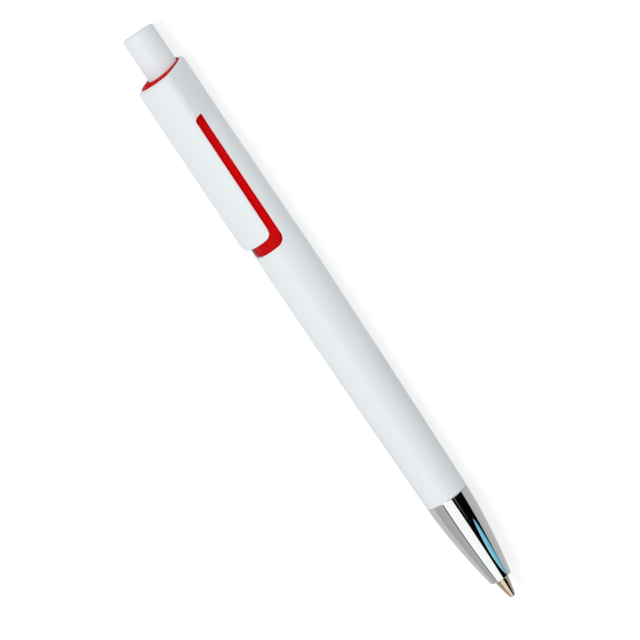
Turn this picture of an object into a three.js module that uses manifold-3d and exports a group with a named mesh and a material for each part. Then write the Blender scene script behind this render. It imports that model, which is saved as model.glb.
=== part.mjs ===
// Pushbutton ballpoint pen, modelled along its own axis and laid down flat at the end.
// Pen frame, in millimetres: Z runs from the ball's tip (z = 0) to the button's top, the clip faces -Y and
// X is to the right of someone who faces the clip. "Front" means the clip's side, so front = -y.
import * as THREE from "three";
import { mergeVertices } from "three/addons/utils/BufferGeometryUtils.js";
import Module from "manifold-3d";

const wasm = await Module();
wasm.setup();

// Barrel shell, from its lower end upwards
const NOSE_JOINT_Z = 25.4; // where the shell meets the nose cone
const JOINT_RADIUS = 4.8; // shell at that end
const TAPER_LENGTH = 60.2; // from there to where the shell is widest
const BARREL_RADIUS = 5.5; // shell where it is widest
const BARREL_CURVE = 1.4; // power of the taper towards the nose
const WAIST_LENGTH = 31; // from the widest place to where the head starts to swell
const HEAD_SWELL = 3.5; // length over which the round barrel swells into the head
const HEAD_LENGTH = 11.05; // head in its whole section, up to the rim on the pen's axis
const HEAD_SLIMMER = 0.35; // round back of the head inside the barrel's widest radius
const HEAD_DEPTH = 7.04; // front of the head's crown to the pen's axis
const HEAD_FLANK_BLEND = 16; // degrees behind the corner over which the swelling sets in
const SHELL_WALL = 0.82;
const HEAD_WALL = 1.0;
const RIM_SLOPE = 0.197; // fall of the rim towards the clip, as a ratio
const RIM_ROUND = 0.95; // rounding of the rim's outer edge

const WIDEST_Z = NOSE_JOINT_Z + TAPER_LENGTH;
const HEAD_BLEND_Z = WIDEST_Z + WAIST_LENGTH;
const HEAD_FULL_Z = HEAD_BLEND_Z + HEAD_SWELL;
const RIM_Z = HEAD_FULL_Z + HEAD_LENGTH;
const HEAD_RADIUS = BARREL_RADIUS - HEAD_SLIMMER;

// Section of the head and the clip: a crowned front, two soft corners and flanks that run into the round back
const CROWN_RADIUS = 8.19;
const CORNER_RADIUS = 2.0;
const CORNER_X = 2.72; // centre of a corner's arc
const FLANK_RADIUS = 14;

// Window in the shell round the clip, and the clip itself
const WINDOW_BELOW_HEAD = 0.2; // the window's top below the head's whole section
const WINDOW_LENGTH = 31.55;
const WINDOW_HALF_WIDTH = 4.45;
const WINDOW_NEAR = 0.5; // the window is cut from this far in front of the axis
const WINDOW_CORNER = 1.85;
const WINDOW_ARCH = 0.35; // rise of its lower edge from the middle to the corners
const CLIP_END_GAP = 2.5; // the clip's end above the window's lower edge
const CLIP_ROOT_DROP = 1.65; // the clip's root below the window's top
const CLIP_SIDE_CLEARANCE = 0.28; // clip to the window's side, seen from the front
const CLIP_CORNER = 1.7;
const CLIP_ARCH = 0.35;
const CLIP_THICKNESS = 1.69; // from the crown to the flat inner face
const CLIP_BEVEL = 0.42; // how far the side edges lean in under the clip
const CLIP_ROOT_GAP = 0.3;
const PIP_RISE = 3.4; // height of the gripping ridge above the clip's end
const PIP_RADIUS = 1.1;
const PIP_GAP = 0.3; // gripping ridge to the sleeve
const ROOT_FILLET = 1.5;

const WINDOW_TOP_Z = HEAD_FULL_Z - WINDOW_BELOW_HEAD;
const WINDOW_BOTTOM_Z = WINDOW_TOP_Z - WINDOW_LENGTH;
const CLIP_ROOT_Z = WINDOW_TOP_Z - CLIP_ROOT_DROP;
const CLIP_END_Z = WINDOW_BOTTOM_Z + CLIP_END_GAP;
const CLIP_UNDERSIDE = HEAD_DEPTH - CLIP_THICKNESS;

// Inner sleeve
const SLEEVE_CLEARANCE = 0.12; // to the shell, all round
const SLEEVE_LAP = 3.8; // the sleeve's lower end below the window
const SLEEVE_WALL = 0.76;
const COLLAR_BELOW_HEAD = 0.4; // the round sleeve starts to swell into the collar here
const COLLAR_SWELL = 1.6;
const COLLAR_PROUD = 0.15; // how far the collar stands above the shell's rim
const POCKET_WALL = 0.55; // between the button's bore and the crescent pocket in front of it
const POCKET_WIDTH = 0.85;
const POCKET_HALF_ANGLE = 40;
const POCKET_DEPTH = 3;

const SLEEVE_BORE = BARREL_RADIUS - SHELL_WALL - SLEEVE_CLEARANCE - SLEEVE_WALL;
const SLEEVE_BOTTOM_Z = WINDOW_BOTTOM_Z - SLEEVE_LAP;
const POCKET_INNER = SLEEVE_BORE + POCKET_WALL;
const COLLAR_LOW_Z = HEAD_FULL_Z - COLLAR_BELOW_HEAD;
const COLLAR_FULL_Z = COLLAR_LOW_Z + COLLAR_SWELL;

// Click mechanism, from the stop ring downwards
const TRAVEL = 5; // from the latched place to the released one
const STOP_BELOW_HEAD = 1.8; // the stop ring's lower face below the head's whole section
const STOP_HEIGHT = 1.4; // ring that closes the slots at the top
const STOP_CLEARANCE = 0.25; // left over the drive fins when the point is drawn in
const SLOTS = 4; // guide slots, ribs and fins go round in this number
const TEETH = 8; // teeth of each crown
const TOOTH_HEIGHT = 0.8;
const TOOTH_RISE = 0.8; // share of its pitch over which a tooth rises
const CROWN_BASE = 0.4; // solid ring under a crown's teeth
const CROWN_GAP = 0.25; // tip to tip, so that the rotor cam turns freely in this model
const RIB_DEPTH = 0.9; // how far the guide ribs stand into the bore
const RIB_HOOK = 0.9; // height of the ribs' saw-toothed lower ends
const RIB_ANGLE = 54; // degrees that each rib spans
const FIN_ANGLE = 24;
const FIN_CLEARANCE = 0.15; // fin to the sleeve's bore
const FIN_ROOT = 0.3; // how deep a fin starts inside its core
const CORE_CLEARANCE = 0.3; // body of the drive cam and of the rotor cam to the ribs
const DRIVE_WALL = 0.8;
const DRIVE_FIN_RISE = 1.9; // lower end of the drive fins above the crown's tips
const DRIVE_FIN_HEIGHT = 2.2;
const ROTOR_HEIGHT = 7;
const ROTOR_FIN_HEIGHT = 4.6;
const ROTOR_SOCKET_DEPTH = 5;
const ROTOR_FIN_DROP = 0.9; // slope of the fins' tops
const RIB_CLEARANCE = 0.3; // rotor fins below the ribs' ends

const RIB_INNER = SLEEVE_BORE - RIB_DEPTH;
const CORE_RADIUS = RIB_INNER - CORE_CLEARANCE;
const DRIVE_BORE = CORE_RADIUS - DRIVE_WALL;
const RIB_TOP_Z = HEAD_FULL_Z - STOP_BELOW_HEAD;
const DRIVE_FIN_TOP_Z = RIB_TOP_Z - STOP_CLEARANCE - TRAVEL;
const DRIVE_TIP_Z = DRIVE_FIN_TOP_Z - DRIVE_FIN_HEIGHT - DRIVE_FIN_RISE;
const ROTOR_TIP_Z = DRIVE_TIP_Z - CROWN_GAP;
const RIB_END_Z = ROTOR_TIP_Z + RIB_CLEARANCE;

// Button
const BUTTON_PROUD = 9.55; // the button's top above the rim on the pen's axis
const BUTTON_CLEARANCE = 0.18; // to the sleeve's bore
const PRESS_ROOM = 1.8; // the button's lower edge above the stop ring
const BUTTON_ROUND = 1.0;
const BUTTON_ROOF = 2.5;
const STEM_FIT = 0.12; // radial gap between the stem and the button's bore
const STEM_GAP = 0.4; // the stem's end below the button's roof

const BUTTON_TOP_Z = RIM_Z + BUTTON_PROUD;
const BUTTON_BOTTOM_Z = RIB_TOP_Z + STOP_HEIGHT + PRESS_ROOM;
const BUTTON_RADIUS = SLEEVE_BORE - BUTTON_CLEARANCE;

// Refill
const BALL_RADIUS = 0.5;
const BALL_CLEARANCE = 0.05;
const POINT_SHOULDER_Z = 4.0;
const POINT_RADIUS = 1.5;
const POINT_CONE_Z = 2.3;
const POINT_CONE_RADIUS = 1.22;
const POINT_LIP_RADIUS = 0.7;
const POINT_LIP_Z = 0.25;
const POINT_LIP_HEIGHT = 0.2;
const POINT_ROUND = 0.06; // lip rolled in over the ball, and belly of the cone
const POINT_BODY_TOP_Z = 9.8;
const SHANK_RADIUS = 0.88;
const SHANK_LENGTH = 5.8;
const INK_CHANNEL = 0.3;
const HOLDER_RADIUS = 1.45;
const HOLDER_GAP = 0.2; // end faces of the refill's pieces
const SHOULDER_Z = 28; // the spring's upper seat
const SHOULDER_RADIUS = 2.2;
const SHOULDER_HEIGHT = 1.5;
const HOLDER_PLUG = 4.5;
const PIECE_FIT = 0.1; // radial gap of a plug or shank in its bore
const TUBE_RADIUS = 1.5;
const TUBE_WALL = 0.4;
const INK_SHORT = 20.2; // the ink ends this far below the tube's top

// Nose cone
const NOSE_END_Z = 4.75;
const NOSE_END_RADIUS = 2.45;
const NOSE_CURVE = 1.65;
const NOSE_EDGE = 0.25; // rounding of its mouth
const NOSE_JOINT_GAP = 0.2;
const NOSE_BORE = 2.55;
const NOSE_SEAT_Z = 7.9; // the spring's lower seat
const POINT_HOLE_CLEARANCE = 0.15;
const SPIGOT_LENGTH = 6.3;
const SPIGOT_CLEARANCE = 0.15;

// Return spring
const WIRE_RADIUS = 0.2;
const COIL_RADIUS = 1.98;
const COILS = 12;
const SPRING_END_GAP = 0.2;
const COIL_STEPS = 8;
const WIRE_SIDES = 5;

// How far joined solids run into each other, how far cutting solids reach past what they cut, and how far a
// cutting outline stands outside an edge that it has to keep
const SINK = 0.2;
const CUT_SPARE = 1;
const HAIR = 0.001;

// Fineness of the round surfaces
const AROUND = 64;
const AROUND_BUTTON = 48;
const AROUND_SMALL = 32;

const degrees = THREE.MathUtils.degToRad;

// Joining and cutting

function solid(geometry) {
  const bare = geometry.clone();
  bare.deleteAttribute("normal");
  bare.deleteAttribute("uv");
  const merged = mergeVertices(bare, 1e-4);
  const corners = merged.index.array;
  const kept = [];
  for (let i = 0; i < corners.length; i += 3) {
    const [a, b, c] = [corners[i], corners[i + 1], corners[i + 2]];
    if (a !== b && b !== c && a !== c) kept.push(a, b, c);
  }
  const make = (order) =>
    new wasm.Manifold(
      new wasm.Mesh({
        numProp: 3,
        vertProperties: new Float32Array(merged.attributes.position.array),
        triVerts: new Uint32Array(order),
      }),
    );
  const made = make(kept);
  if (made.volume() > 0) return made;
  return make(kept.reverse());
}

function geometryOf(body) {
  const mesh = body.getMesh();
  const geometry = new THREE.BufferGeometry();
  const points = new Float32Array(mesh.numVert * 3);
  for (let i = 0; i < mesh.numVert; i++) {
    const start = i * mesh.numProp;
    points.set(mesh.vertProperties.subarray(start, start + 3), i * 3);
  }
  geometry.setAttribute("position", new THREE.BufferAttribute(points, 3));
  geometry.setIndex(new THREE.BufferAttribute(new Uint32Array(mesh.triVerts), 1));
  geometry.computeVertexNormals();
  return geometry;
}

// Shapes

// A closed solid turned about Z from a profile of [radius, z] points that starts and ends on the axis,
// or that closes on itself where the piece has a hole right through.
function turned(profile, around = AROUND_SMALL) {
  const points = profile.map(([radius, z]) => new THREE.Vector2(radius, z));
  const geometry = new THREE.LatheGeometry(points, around);
  geometry.rotateX(Math.PI / 2);
  return solid(geometry);
}

function pipe(inner, outer, low, high, around = AROUND_SMALL) {
  return turned(
    [
      [inner, low],
      [outer, low],
      [outer, high],
      [inner, high],
      [inner, low],
    ],
    around,
  );
}

function rod(radius, low, high, around = AROUND_SMALL) {
  return turned(
    [
      [0, low],
      [radius, low],
      [radius, high],
      [0, high],
    ],
    around,
  );
}

// A closed solid through a stack of rings, each with the same number of [x, y, z] points.
function lofted(rings) {
  const count = rings[0].length;
  const points = rings.flat(2);
  const corners = [];
  for (let level = 0; level + 1 < rings.length; level++) {
    for (let i = 0; i < count; i++) {
      const a = level * count + i;
      const b = level * count + ((i + 1) % count);
      corners.push(a, b, a + count, b, b + count, a + count);
    }
  }
  const top = (rings.length - 1) * count;
  for (let i = 1; i + 1 < count; i++) {
    corners.push(0, i + 1, i);
    corners.push(top, top + i, top + i + 1);
  }
  const geometry = new THREE.BufferGeometry();
  geometry.setAttribute("position", new THREE.Float32BufferAttribute(points, 3));
  geometry.setIndex(corners);
  return solid(geometry);
}

// Part of a ring about Z whose lower and upper faces follow functions of the angle.
function sector({ inner, outer, from, to, steps, low, high }) {
  const closed = to - from >= 360;
  const rows = closed ? steps : steps + 1;
  const points = [];
  for (let i = 0; i < rows; i++) {
    const turn = from + ((to - from) * i) / steps;
    const [c, s] = [Math.cos(degrees(turn)), Math.sin(degrees(turn))];
    const [zLow, zHigh] = [low(turn), high(turn)];
    points.push(inner * c, inner * s, zLow, outer * c, outer * s, zLow);
    points.push(outer * c, outer * s, zHigh, inner * c, inner * s, zHigh);
  }
  const corners = [];
  for (let i = 0; i < (closed ? rows : rows - 1); i++) {
    for (let side = 0; side < 4; side++) {
      const a = i * 4 + side;
      const b = i * 4 + ((side + 1) % 4);
      const [c, d] = [a, b].map((corner) => (corner + 4) % (rows * 4));
      corners.push(a, b, c, b, d, c);
    }
  }
  if (!closed) {
    const end = (rows - 1) * 4;
    corners.push(0, 2, 1, 0, 3, 2, end, end + 1, end + 2, end, end + 2, end + 3);
  }
  const geometry = new THREE.BufferGeometry();
  geometry.setAttribute("position", new THREE.Float32BufferAttribute(points, 3));
  geometry.setIndex(corners);
  return solid(geometry);
}

// A shape drawn in x and z, carried through the pen from the front distance `near` to `far`.
function frontPrism(shape, near, far, curveSegments = 8) {
  const geometry = new THREE.ExtrudeGeometry(shape, { depth: far - near, bevelEnabled: false, curveSegments });
  geometry.rotateX(Math.PI / 2);
  geometry.translate(0, -near, 0);
  return solid(geometry);
}

// A shape drawn in front distance and z, carried across the pen.
function sidePrism(shape, halfWidth, curveSegments = 8) {
  const depth = 2 * halfWidth;
  const geometry = new THREE.ExtrudeGeometry(shape, { depth, bevelEnabled: false, curveSegments });
  geometry.translate(0, 0, -halfWidth);
  const turn = new THREE.Matrix4();
  turn.makeBasis(new THREE.Vector3(0, -1, 0), new THREE.Vector3(0, 0, 1), new THREE.Vector3(-1, 0, 0));
  geometry.applyMatrix4(turn);
  return solid(geometry);
}

const smooth = (value) => THREE.MathUtils.smoothstep(value, 0, 1);

// Outlines of the barrel and the head

function barrelRadius(z) {
  if (z >= WIDEST_Z) {
    const share = Math.min(1, (z - WIDEST_Z) / (HEAD_BLEND_Z - WIDEST_Z));
    return BARREL_RADIUS + (HEAD_RADIUS - BARREL_RADIUS) * share;
  }
  const share = (WIDEST_Z - z) / (WIDEST_Z - NOSE_JOINT_Z);
  return BARREL_RADIUS - (BARREL_RADIUS - JOINT_RADIUS) * share ** BARREL_CURVE;
}

const crownInner = CROWN_RADIUS - CORNER_RADIUS;
// A corner's arc touches the crown from inside, at this angle from the front.
const cornerAngle = Math.asin(CORNER_X / crownInner);
const crownCentre = { x: 0, front: HEAD_DEPTH - CROWN_RADIUS };
const cornerCentre = { x: CORNER_X, front: crownCentre.front + crownInner * Math.cos(cornerAngle) };

// The flank's arc touches the corner's arc and the round back from outside.
function flankArc() {
  const toCorner = FLANK_RADIUS - CORNER_RADIUS;
  const toAxis = FLANK_RADIUS - HEAD_RADIUS;
  const apart = Math.hypot(cornerCentre.x, cornerCentre.front);
  const along = (toAxis ** 2 - toCorner ** 2 + apart ** 2) / (2 * apart);
  const aside = Math.sqrt(toAxis ** 2 - along ** 2);
  const [ux, uf] = [cornerCentre.x / apart, cornerCentre.front / apart];
  return { x: ux * along - uf * aside, front: uf * along + ux * aside };
}
const flankCentre = flankArc();

// Where the ray at `angle` from the front leaves a circle that holds the pen's axis or lies ahead of it.
function rayExit(angle, centre, radius) {
  const along = centre.x * Math.sin(angle) + centre.front * Math.cos(angle);
  const left = along ** 2 - centre.x ** 2 - centre.front ** 2 + radius ** 2;
  return along + Math.sqrt(Math.max(0, left));
}

const angleOf = (x, front) => Math.atan2(x, front);
const crownEnd = angleOf(
  cornerCentre.x + CORNER_RADIUS * Math.sin(cornerAngle),
  cornerCentre.front + CORNER_RADIUS * Math.cos(cornerAngle),
);
const awayFromFlank = angleOf(cornerCentre.x - flankCentre.x, cornerCentre.front - flankCentre.front);
const cornerEnd = angleOf(
  cornerCentre.x + CORNER_RADIUS * Math.sin(awayFromFlank),
  cornerCentre.front + CORNER_RADIUS * Math.cos(awayFromFlank),
);
const flankEnd = angleOf(-flankCentre.x, -flankCentre.front);

function headRadius(angle) {
  const turn = Math.abs(angle);
  if (turn <= crownEnd) return rayExit(turn, crownCentre, CROWN_RADIUS);
  if (turn <= cornerEnd) return rayExit(turn, cornerCentre, CORNER_RADIUS);
  if (turn <= flankEnd) return rayExit(turn, flankCentre, FLANK_RADIUS);
  return HEAD_RADIUS;
}

// Angles of a ring's points, from the back round by the front, with a flat facet at the very back.
const ringAngles = Array.from({ length: AROUND }, (_, i) => ((i + 0.5) / AROUND) * 2 * Math.PI - Math.PI);

function ring(radiusAt, zAt) {
  return ringAngles.map((angle) => {
    const radius = radiusAt(angle);
    const [x, front] = [radius * Math.sin(angle), radius * Math.cos(angle)];
    return [x, -front, zAt(front)];
  });
}

// Heights in even steps, both ends counted.
const heights = (from, to, steps) =>
  Array.from({ length: steps + 1 }, (_, i) => from + ((to - from) * i) / steps);

const level = (z) => () => z;
const rim = (rise) => (front) => RIM_Z + rise - RIM_SLOPE * front;

// Barrel shell

function shellRadius(z) {
  const flankShare = smooth((z - HEAD_BLEND_Z) / (HEAD_FULL_Z - HEAD_BLEND_Z));
  const frontShare = z > CLIP_ROOT_Z ? 1 : 0;
  return (angle) => {
    const side = smooth((Math.abs(angle) - cornerEnd) / degrees(HEAD_FLANK_BLEND));
    const share = frontShare + (flankShare - frontShare) * side;
    return barrelRadius(z) + (headRadius(angle) - barrelRadius(z)) * share;
  };
}

function shellOuter() {
  const taper = heights(NOSE_JOINT_Z, WIDEST_Z, 7);
  const waist = heights(WIDEST_Z, HEAD_BLEND_Z, 2).slice(1);
  const head = heights(CLIP_ROOT_Z + HAIR, HEAD_FULL_Z, 2);
  const rings = [...taper, ...waist, ...head].map((z) => ring(shellRadius(z), level(z)));
  for (const turn of [0, 30, 60, 90]) {
    const inset = RIM_ROUND * (1 - Math.cos(degrees(turn)));
    const drop = RIM_ROUND * (1 - Math.sin(degrees(turn)));
    rings.push(ring((angle) => headRadius(angle) - inset, rim(-drop)));
  }
  return lofted(rings);
}

const shellBore = (z) => barrelRadius(z) - SHELL_WALL;
const sleeveBed = BARREL_RADIUS - SHELL_WALL; // the shell's bore round the sleeve
const collarBed = (angle) => headRadius(angle) - HEAD_WALL;

function shellCavity() {
  const rings = [ring(() => shellBore(NOSE_JOINT_Z), level(NOSE_JOINT_Z - CUT_SPARE))];
  for (const z of heights(NOSE_JOINT_Z, WIDEST_Z, 5)) rings.push(ring(() => shellBore(z), level(z)));
  rings.push(ring(() => sleeveBed, level(COLLAR_LOW_Z)));
  rings.push(ring(collarBed, level(COLLAR_FULL_Z)));
  rings.push(ring(collarBed, rim(CUT_SPARE)));
  return lofted(rings);
}

// Outline of a tongue or a window that ends below in two round corners and a shallow arch.
function tongueOutline(halfWidth, bottom, top, corner, arch) {
  const bend = 0.4 * arch; // height of the arch's ends above the tongue's lowest point
  const shape = new THREE.Shape();
  shape.moveTo(-halfWidth, top);
  shape.lineTo(-halfWidth, bottom + arch + corner);
  shape.quadraticCurveTo(-halfWidth, bottom + 2 * bend, corner - halfWidth, bottom + bend);
  shape.quadraticCurveTo(0, bottom - bend, halfWidth - corner, bottom + bend);
  shape.quadraticCurveTo(halfWidth, bottom + 2 * bend, halfWidth, bottom + arch + corner);
  shape.lineTo(halfWidth, top);
  shape.closePath();
  return shape;
}

function windowCutter() {
  const outline = tongueOutline(
    WINDOW_HALF_WIDTH,
    WINDOW_BOTTOM_Z,
    WINDOW_TOP_Z + CUT_SPARE,
    WINDOW_CORNER,
    WINDOW_ARCH,
  );
  const head = CLIP_ROOT_Z + CLIP_ROOT_GAP;
  const reach = HEAD_DEPTH + CUT_SPARE;
  const side = new THREE.Shape();
  side.moveTo(WINDOW_NEAR, WINDOW_BOTTOM_Z - CUT_SPARE);
  side.lineTo(reach, WINDOW_BOTTOM_Z - CUT_SPARE);
  side.lineTo(reach, head);
  side.lineTo(CLIP_UNDERSIDE, head);
  side.quadraticCurveTo(CLIP_UNDERSIDE, WINDOW_TOP_Z, CLIP_UNDERSIDE - ROOT_FILLET, WINDOW_TOP_Z);
  side.lineTo(WINDOW_NEAR, WINDOW_TOP_Z);
  side.closePath();
  return frontPrism(outline, WINDOW_NEAR, reach).intersect(sidePrism(side, WINDOW_HALF_WIDTH + CUT_SPARE));
}

function barrelShell() {
  return shellOuter().subtract(shellCavity()).subtract(windowCutter());
}

// Clip

const clipHalfWidth = WINDOW_HALF_WIDTH - CLIP_SIDE_CLEARANCE;

// The angle at which the head's outline is as wide as the clip.
function clipEdgeAngle() {
  const beyond = clipHalfWidth - cornerCentre.x;
  const front = cornerCentre.front + Math.sqrt(CORNER_RADIUS ** 2 - beyond ** 2);
  return angleOf(clipHalfWidth, front);
}

function clip() {
  const edge = clipEdgeAngle();
  const steps = 20;
  const section = new THREE.Shape();
  section.moveTo(-clipHalfWidth + CLIP_BEVEL, CLIP_UNDERSIDE);
  for (let i = 0; i <= steps; i++) {
    const angle = -edge + (2 * edge * i) / steps;
    const radius = headRadius(angle);
    section.lineTo(radius * Math.sin(angle), radius * Math.cos(angle));
  }
  section.lineTo(clipHalfWidth - CLIP_BEVEL, CLIP_UNDERSIDE);
  section.closePath();
  const length = CLIP_ROOT_Z - CLIP_END_Z + CUT_SPARE;
  const geometry = new THREE.ExtrudeGeometry(section, { depth: length, bevelEnabled: false });
  geometry.scale(1, -1, 1);
  geometry.translate(0, 0, CLIP_ROOT_Z - length);
  const halfWidth = clipHalfWidth + HAIR;
  const outline = tongueOutline(halfWidth, CLIP_END_Z, CLIP_ROOT_Z + CUT_SPARE, CLIP_CORNER, CLIP_ARCH);
  const tongue = solid(geometry).intersect(frontPrism(outline, WINDOW_NEAR, HEAD_DEPTH + CUT_SPARE));
  return tongue.add(grippingRidge());
}

// A low ridge across the inner face, which presses paper against the sleeve.
function grippingRidge() {
  const centre = sleeveRadius + PIP_GAP + PIP_RADIUS;
  const root = Math.max(centre, CLIP_UNDERSIDE) + SINK;
  const middle = CLIP_END_Z + PIP_RISE;
  const shape = new THREE.Shape();
  shape.absarc(centre, middle, PIP_RADIUS, Math.PI / 2, Math.PI * 1.5, false);
  shape.lineTo(root, middle - PIP_RADIUS);
  shape.lineTo(root, middle + PIP_RADIUS);
  shape.closePath();
  return sidePrism(shape, clipHalfWidth - 2 * CLIP_BEVEL);
}

// Inner sleeve

const sleeveRadius = sleeveBed - SLEEVE_CLEARANCE;
const finRadius = SLEEVE_BORE - FIN_CLEARANCE;

function ribs() {
  const pitch = 360 / SLOTS;
  const bodies = [];
  for (let i = 0; i < SLOTS; i++) {
    const middle = pitch * (i + 0.5);
    const from = middle - RIB_ANGLE / 2;
    const sawTooth = (turn) => {
      const share = (2 * (turn - from)) / RIB_ANGLE;
      return RIB_END_Z + RIB_HOOK * (share > 2 - HAIR ? 1 : share % 1);
    };
    bodies.push(
      sector({
        inner: RIB_INNER,
        outer: SLEEVE_BORE + SINK,
        from,
        to: from + RIB_ANGLE,
        steps: 12,
        low: sawTooth,
        high: () => RIB_TOP_Z + SINK,
      }),
    );
  }
  return bodies;
}

function innerSleeve() {
  const collar = (angle) => collarBed(angle) - SLEEVE_CLEARANCE;
  let body = lofted([
    ring(() => sleeveRadius, level(SLEEVE_BOTTOM_Z)),
    ring(() => sleeveRadius, level(COLLAR_LOW_Z)),
    ring(collar, level(COLLAR_FULL_Z)),
    ring(collar, rim(COLLAR_PROUD)),
  ]);
  const above = RIM_Z + RIM_SLOPE * HEAD_RADIUS + CUT_SPARE;
  body = body.subtract(rod(SLEEVE_BORE, SLEEVE_BOTTOM_Z - CUT_SPARE, above, AROUND));
  const stop = pipe(RIB_INNER, SLEEVE_BORE + SINK, RIB_TOP_Z, RIB_TOP_Z + STOP_HEIGHT, AROUND);
  body = body.add(stop);
  for (const rib of ribs()) body = body.add(rib);
  const pocket = sector({
    inner: POCKET_INNER,
    outer: POCKET_INNER + POCKET_WIDTH,
    from: -90 - POCKET_HALF_ANGLE,
    to: -90 + POCKET_HALF_ANGLE,
    steps: 12,
    low: () => RIM_Z - RIM_SLOPE * HEAD_DEPTH - POCKET_DEPTH,
    high: () => above,
  });
  return body.subtract(pocket);
}

// Button and drive cam

function buttonCap() {
  const bore = CORE_RADIUS + STEM_FIT;
  const profile = [
    [0, BUTTON_TOP_Z - BUTTON_ROOF],
    [bore, BUTTON_TOP_Z - BUTTON_ROOF],
    [bore, BUTTON_BOTTOM_Z],
    [BUTTON_RADIUS, BUTTON_BOTTOM_Z],
  ];
  for (const turn of [0, 22.5, 45, 67.5, 90]) {
    const out = BUTTON_RADIUS - BUTTON_ROUND * (1 - Math.cos(degrees(turn)));
    profile.push([out, BUTTON_TOP_Z - BUTTON_ROUND * (1 - Math.sin(degrees(turn)))]);
  }
  profile.push([0, BUTTON_TOP_Z]);
  return turned(profile, AROUND_BUTTON);
}

// Saw teeth: each rises slowly and falls over the rest of its pitch.
function toothHeight(turn) {
  const pitch = 360 / TEETH;
  const share = (((turn % pitch) + pitch) % pitch) / pitch;
  return TOOTH_HEIGHT * (share <= TOOTH_RISE ? share / TOOTH_RISE : (1 - share) / (1 - TOOTH_RISE));
}

// Upright fins round a core; their tops fall by `drop` across a fin's width.
function fins(low, high, drop) {
  const bodies = [];
  for (let i = 0; i < SLOTS; i++) {
    const middle = (360 / SLOTS) * i;
    const from = middle - FIN_ANGLE / 2;
    bodies.push(
      sector({
        inner: CORE_RADIUS - FIN_ROOT,
        outer: finRadius,
        from,
        to: from + FIN_ANGLE,
        steps: 4,
        low: () => low,
        high: (turn) => high - (drop * (turn - from)) / FIN_ANGLE,
      }),
    );
  }
  return bodies;
}

function driveCam() {
  const crownTop = DRIVE_TIP_Z + TOOTH_HEIGHT + CROWN_BASE;
  const stemTop = BUTTON_TOP_Z - BUTTON_ROOF - STEM_GAP;
  let body = sector({
    inner: DRIVE_BORE,
    outer: CORE_RADIUS,
    from: 0,
    to: 360,
    steps: 5 * TEETH,
    low: (turn) => DRIVE_TIP_Z + TOOTH_HEIGHT - toothHeight(turn),
    high: () => crownTop + SINK,
  });
  body = body.add(pipe(DRIVE_BORE, CORE_RADIUS, crownTop, stemTop, 5 * TEETH));
  const finLow = DRIVE_FIN_TOP_Z - DRIVE_FIN_HEIGHT;
  for (const fin of fins(finLow, DRIVE_FIN_TOP_Z, 0)) body = body.add(fin);
  return body;
}

// Rotor cam

const rotorBottomZ = ROTOR_TIP_Z - ROTOR_HEIGHT;
const tubeTopZ = rotorBottomZ + ROTOR_SOCKET_DEPTH - HOLDER_GAP;

function rotorCam() {
  const crownFoot = ROTOR_TIP_Z - TOOTH_HEIGHT;
  let body = sector({
    inner: DRIVE_BORE,
    outer: CORE_RADIUS,
    from: 0,
    to: 360,
    steps: 5 * TEETH,
    low: () => crownFoot - CROWN_BASE,
    high: (turn) => crownFoot + toothHeight(turn),
  });
  body = body.add(rod(CORE_RADIUS, rotorBottomZ, crownFoot - CROWN_BASE + SINK, 5 * TEETH));
  for (const fin of fins(ROTOR_TIP_Z - ROTOR_FIN_HEIGHT, ROTOR_TIP_Z, ROTOR_FIN_DROP)) body = body.add(fin);
  const socket = rod(TUBE_RADIUS + PIECE_FIT, rotorBottomZ - CUT_SPARE, rotorBottomZ + ROTOR_SOCKET_DEPTH);
  return body.subtract(socket);
}

// Refill

function writingBall() {
  return turned(arc(0, BALL_RADIUS, BALL_RADIUS, -90, 90, 8), 16);
}

// Points of an arc about (0, z) in a profile, from one angle above the horizontal to another.
function arc(x, z, radius, from, to, steps) {
  return Array.from({ length: steps + 1 }, (_, i) => {
    const turn = degrees(from + ((to - from) * i) / steps);
    return [Math.abs(Math.round((x + radius * Math.cos(turn)) * 1e6) / 1e6), z + radius * Math.sin(turn)];
  });
}

function writingPoint() {
  const socket = BALL_RADIUS + BALL_CLEARANCE;
  const mouthAngle = THREE.MathUtils.radToDeg(Math.asin((POINT_LIP_Z - BALL_RADIUS) / socket));
  const topAngle = THREE.MathUtils.radToDeg(Math.acos(INK_CHANNEL / socket));
  const cavity = arc(0, BALL_RADIUS, socket, mouthAngle, topAngle, 5);
  const shankTop = POINT_BODY_TOP_Z + SHANK_LENGTH;
  const midCone = (POINT_LIP_RADIUS + POINT_CONE_RADIUS) / 2 + POINT_ROUND;
  return turned([
    ...cavity,
    [INK_CHANNEL, shankTop],
    [SHANK_RADIUS, shankTop],
    [SHANK_RADIUS, POINT_BODY_TOP_Z],
    [POINT_RADIUS, POINT_BODY_TOP_Z],
    [POINT_RADIUS, POINT_SHOULDER_Z],
    [POINT_CONE_RADIUS, POINT_CONE_Z],
    [midCone, (POINT_LIP_Z + POINT_CONE_Z) / 2],
    [POINT_LIP_RADIUS, POINT_LIP_Z + POINT_LIP_HEIGHT],
    [POINT_LIP_RADIUS - POINT_ROUND, POINT_LIP_Z],
    cavity[0],
  ]);
}

const tubeBore = TUBE_RADIUS - TUBE_WALL;
const holderLowZ = POINT_BODY_TOP_Z + HOLDER_GAP;
const shoulderTopZ = SHOULDER_Z + SHOULDER_HEIGHT;

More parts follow.
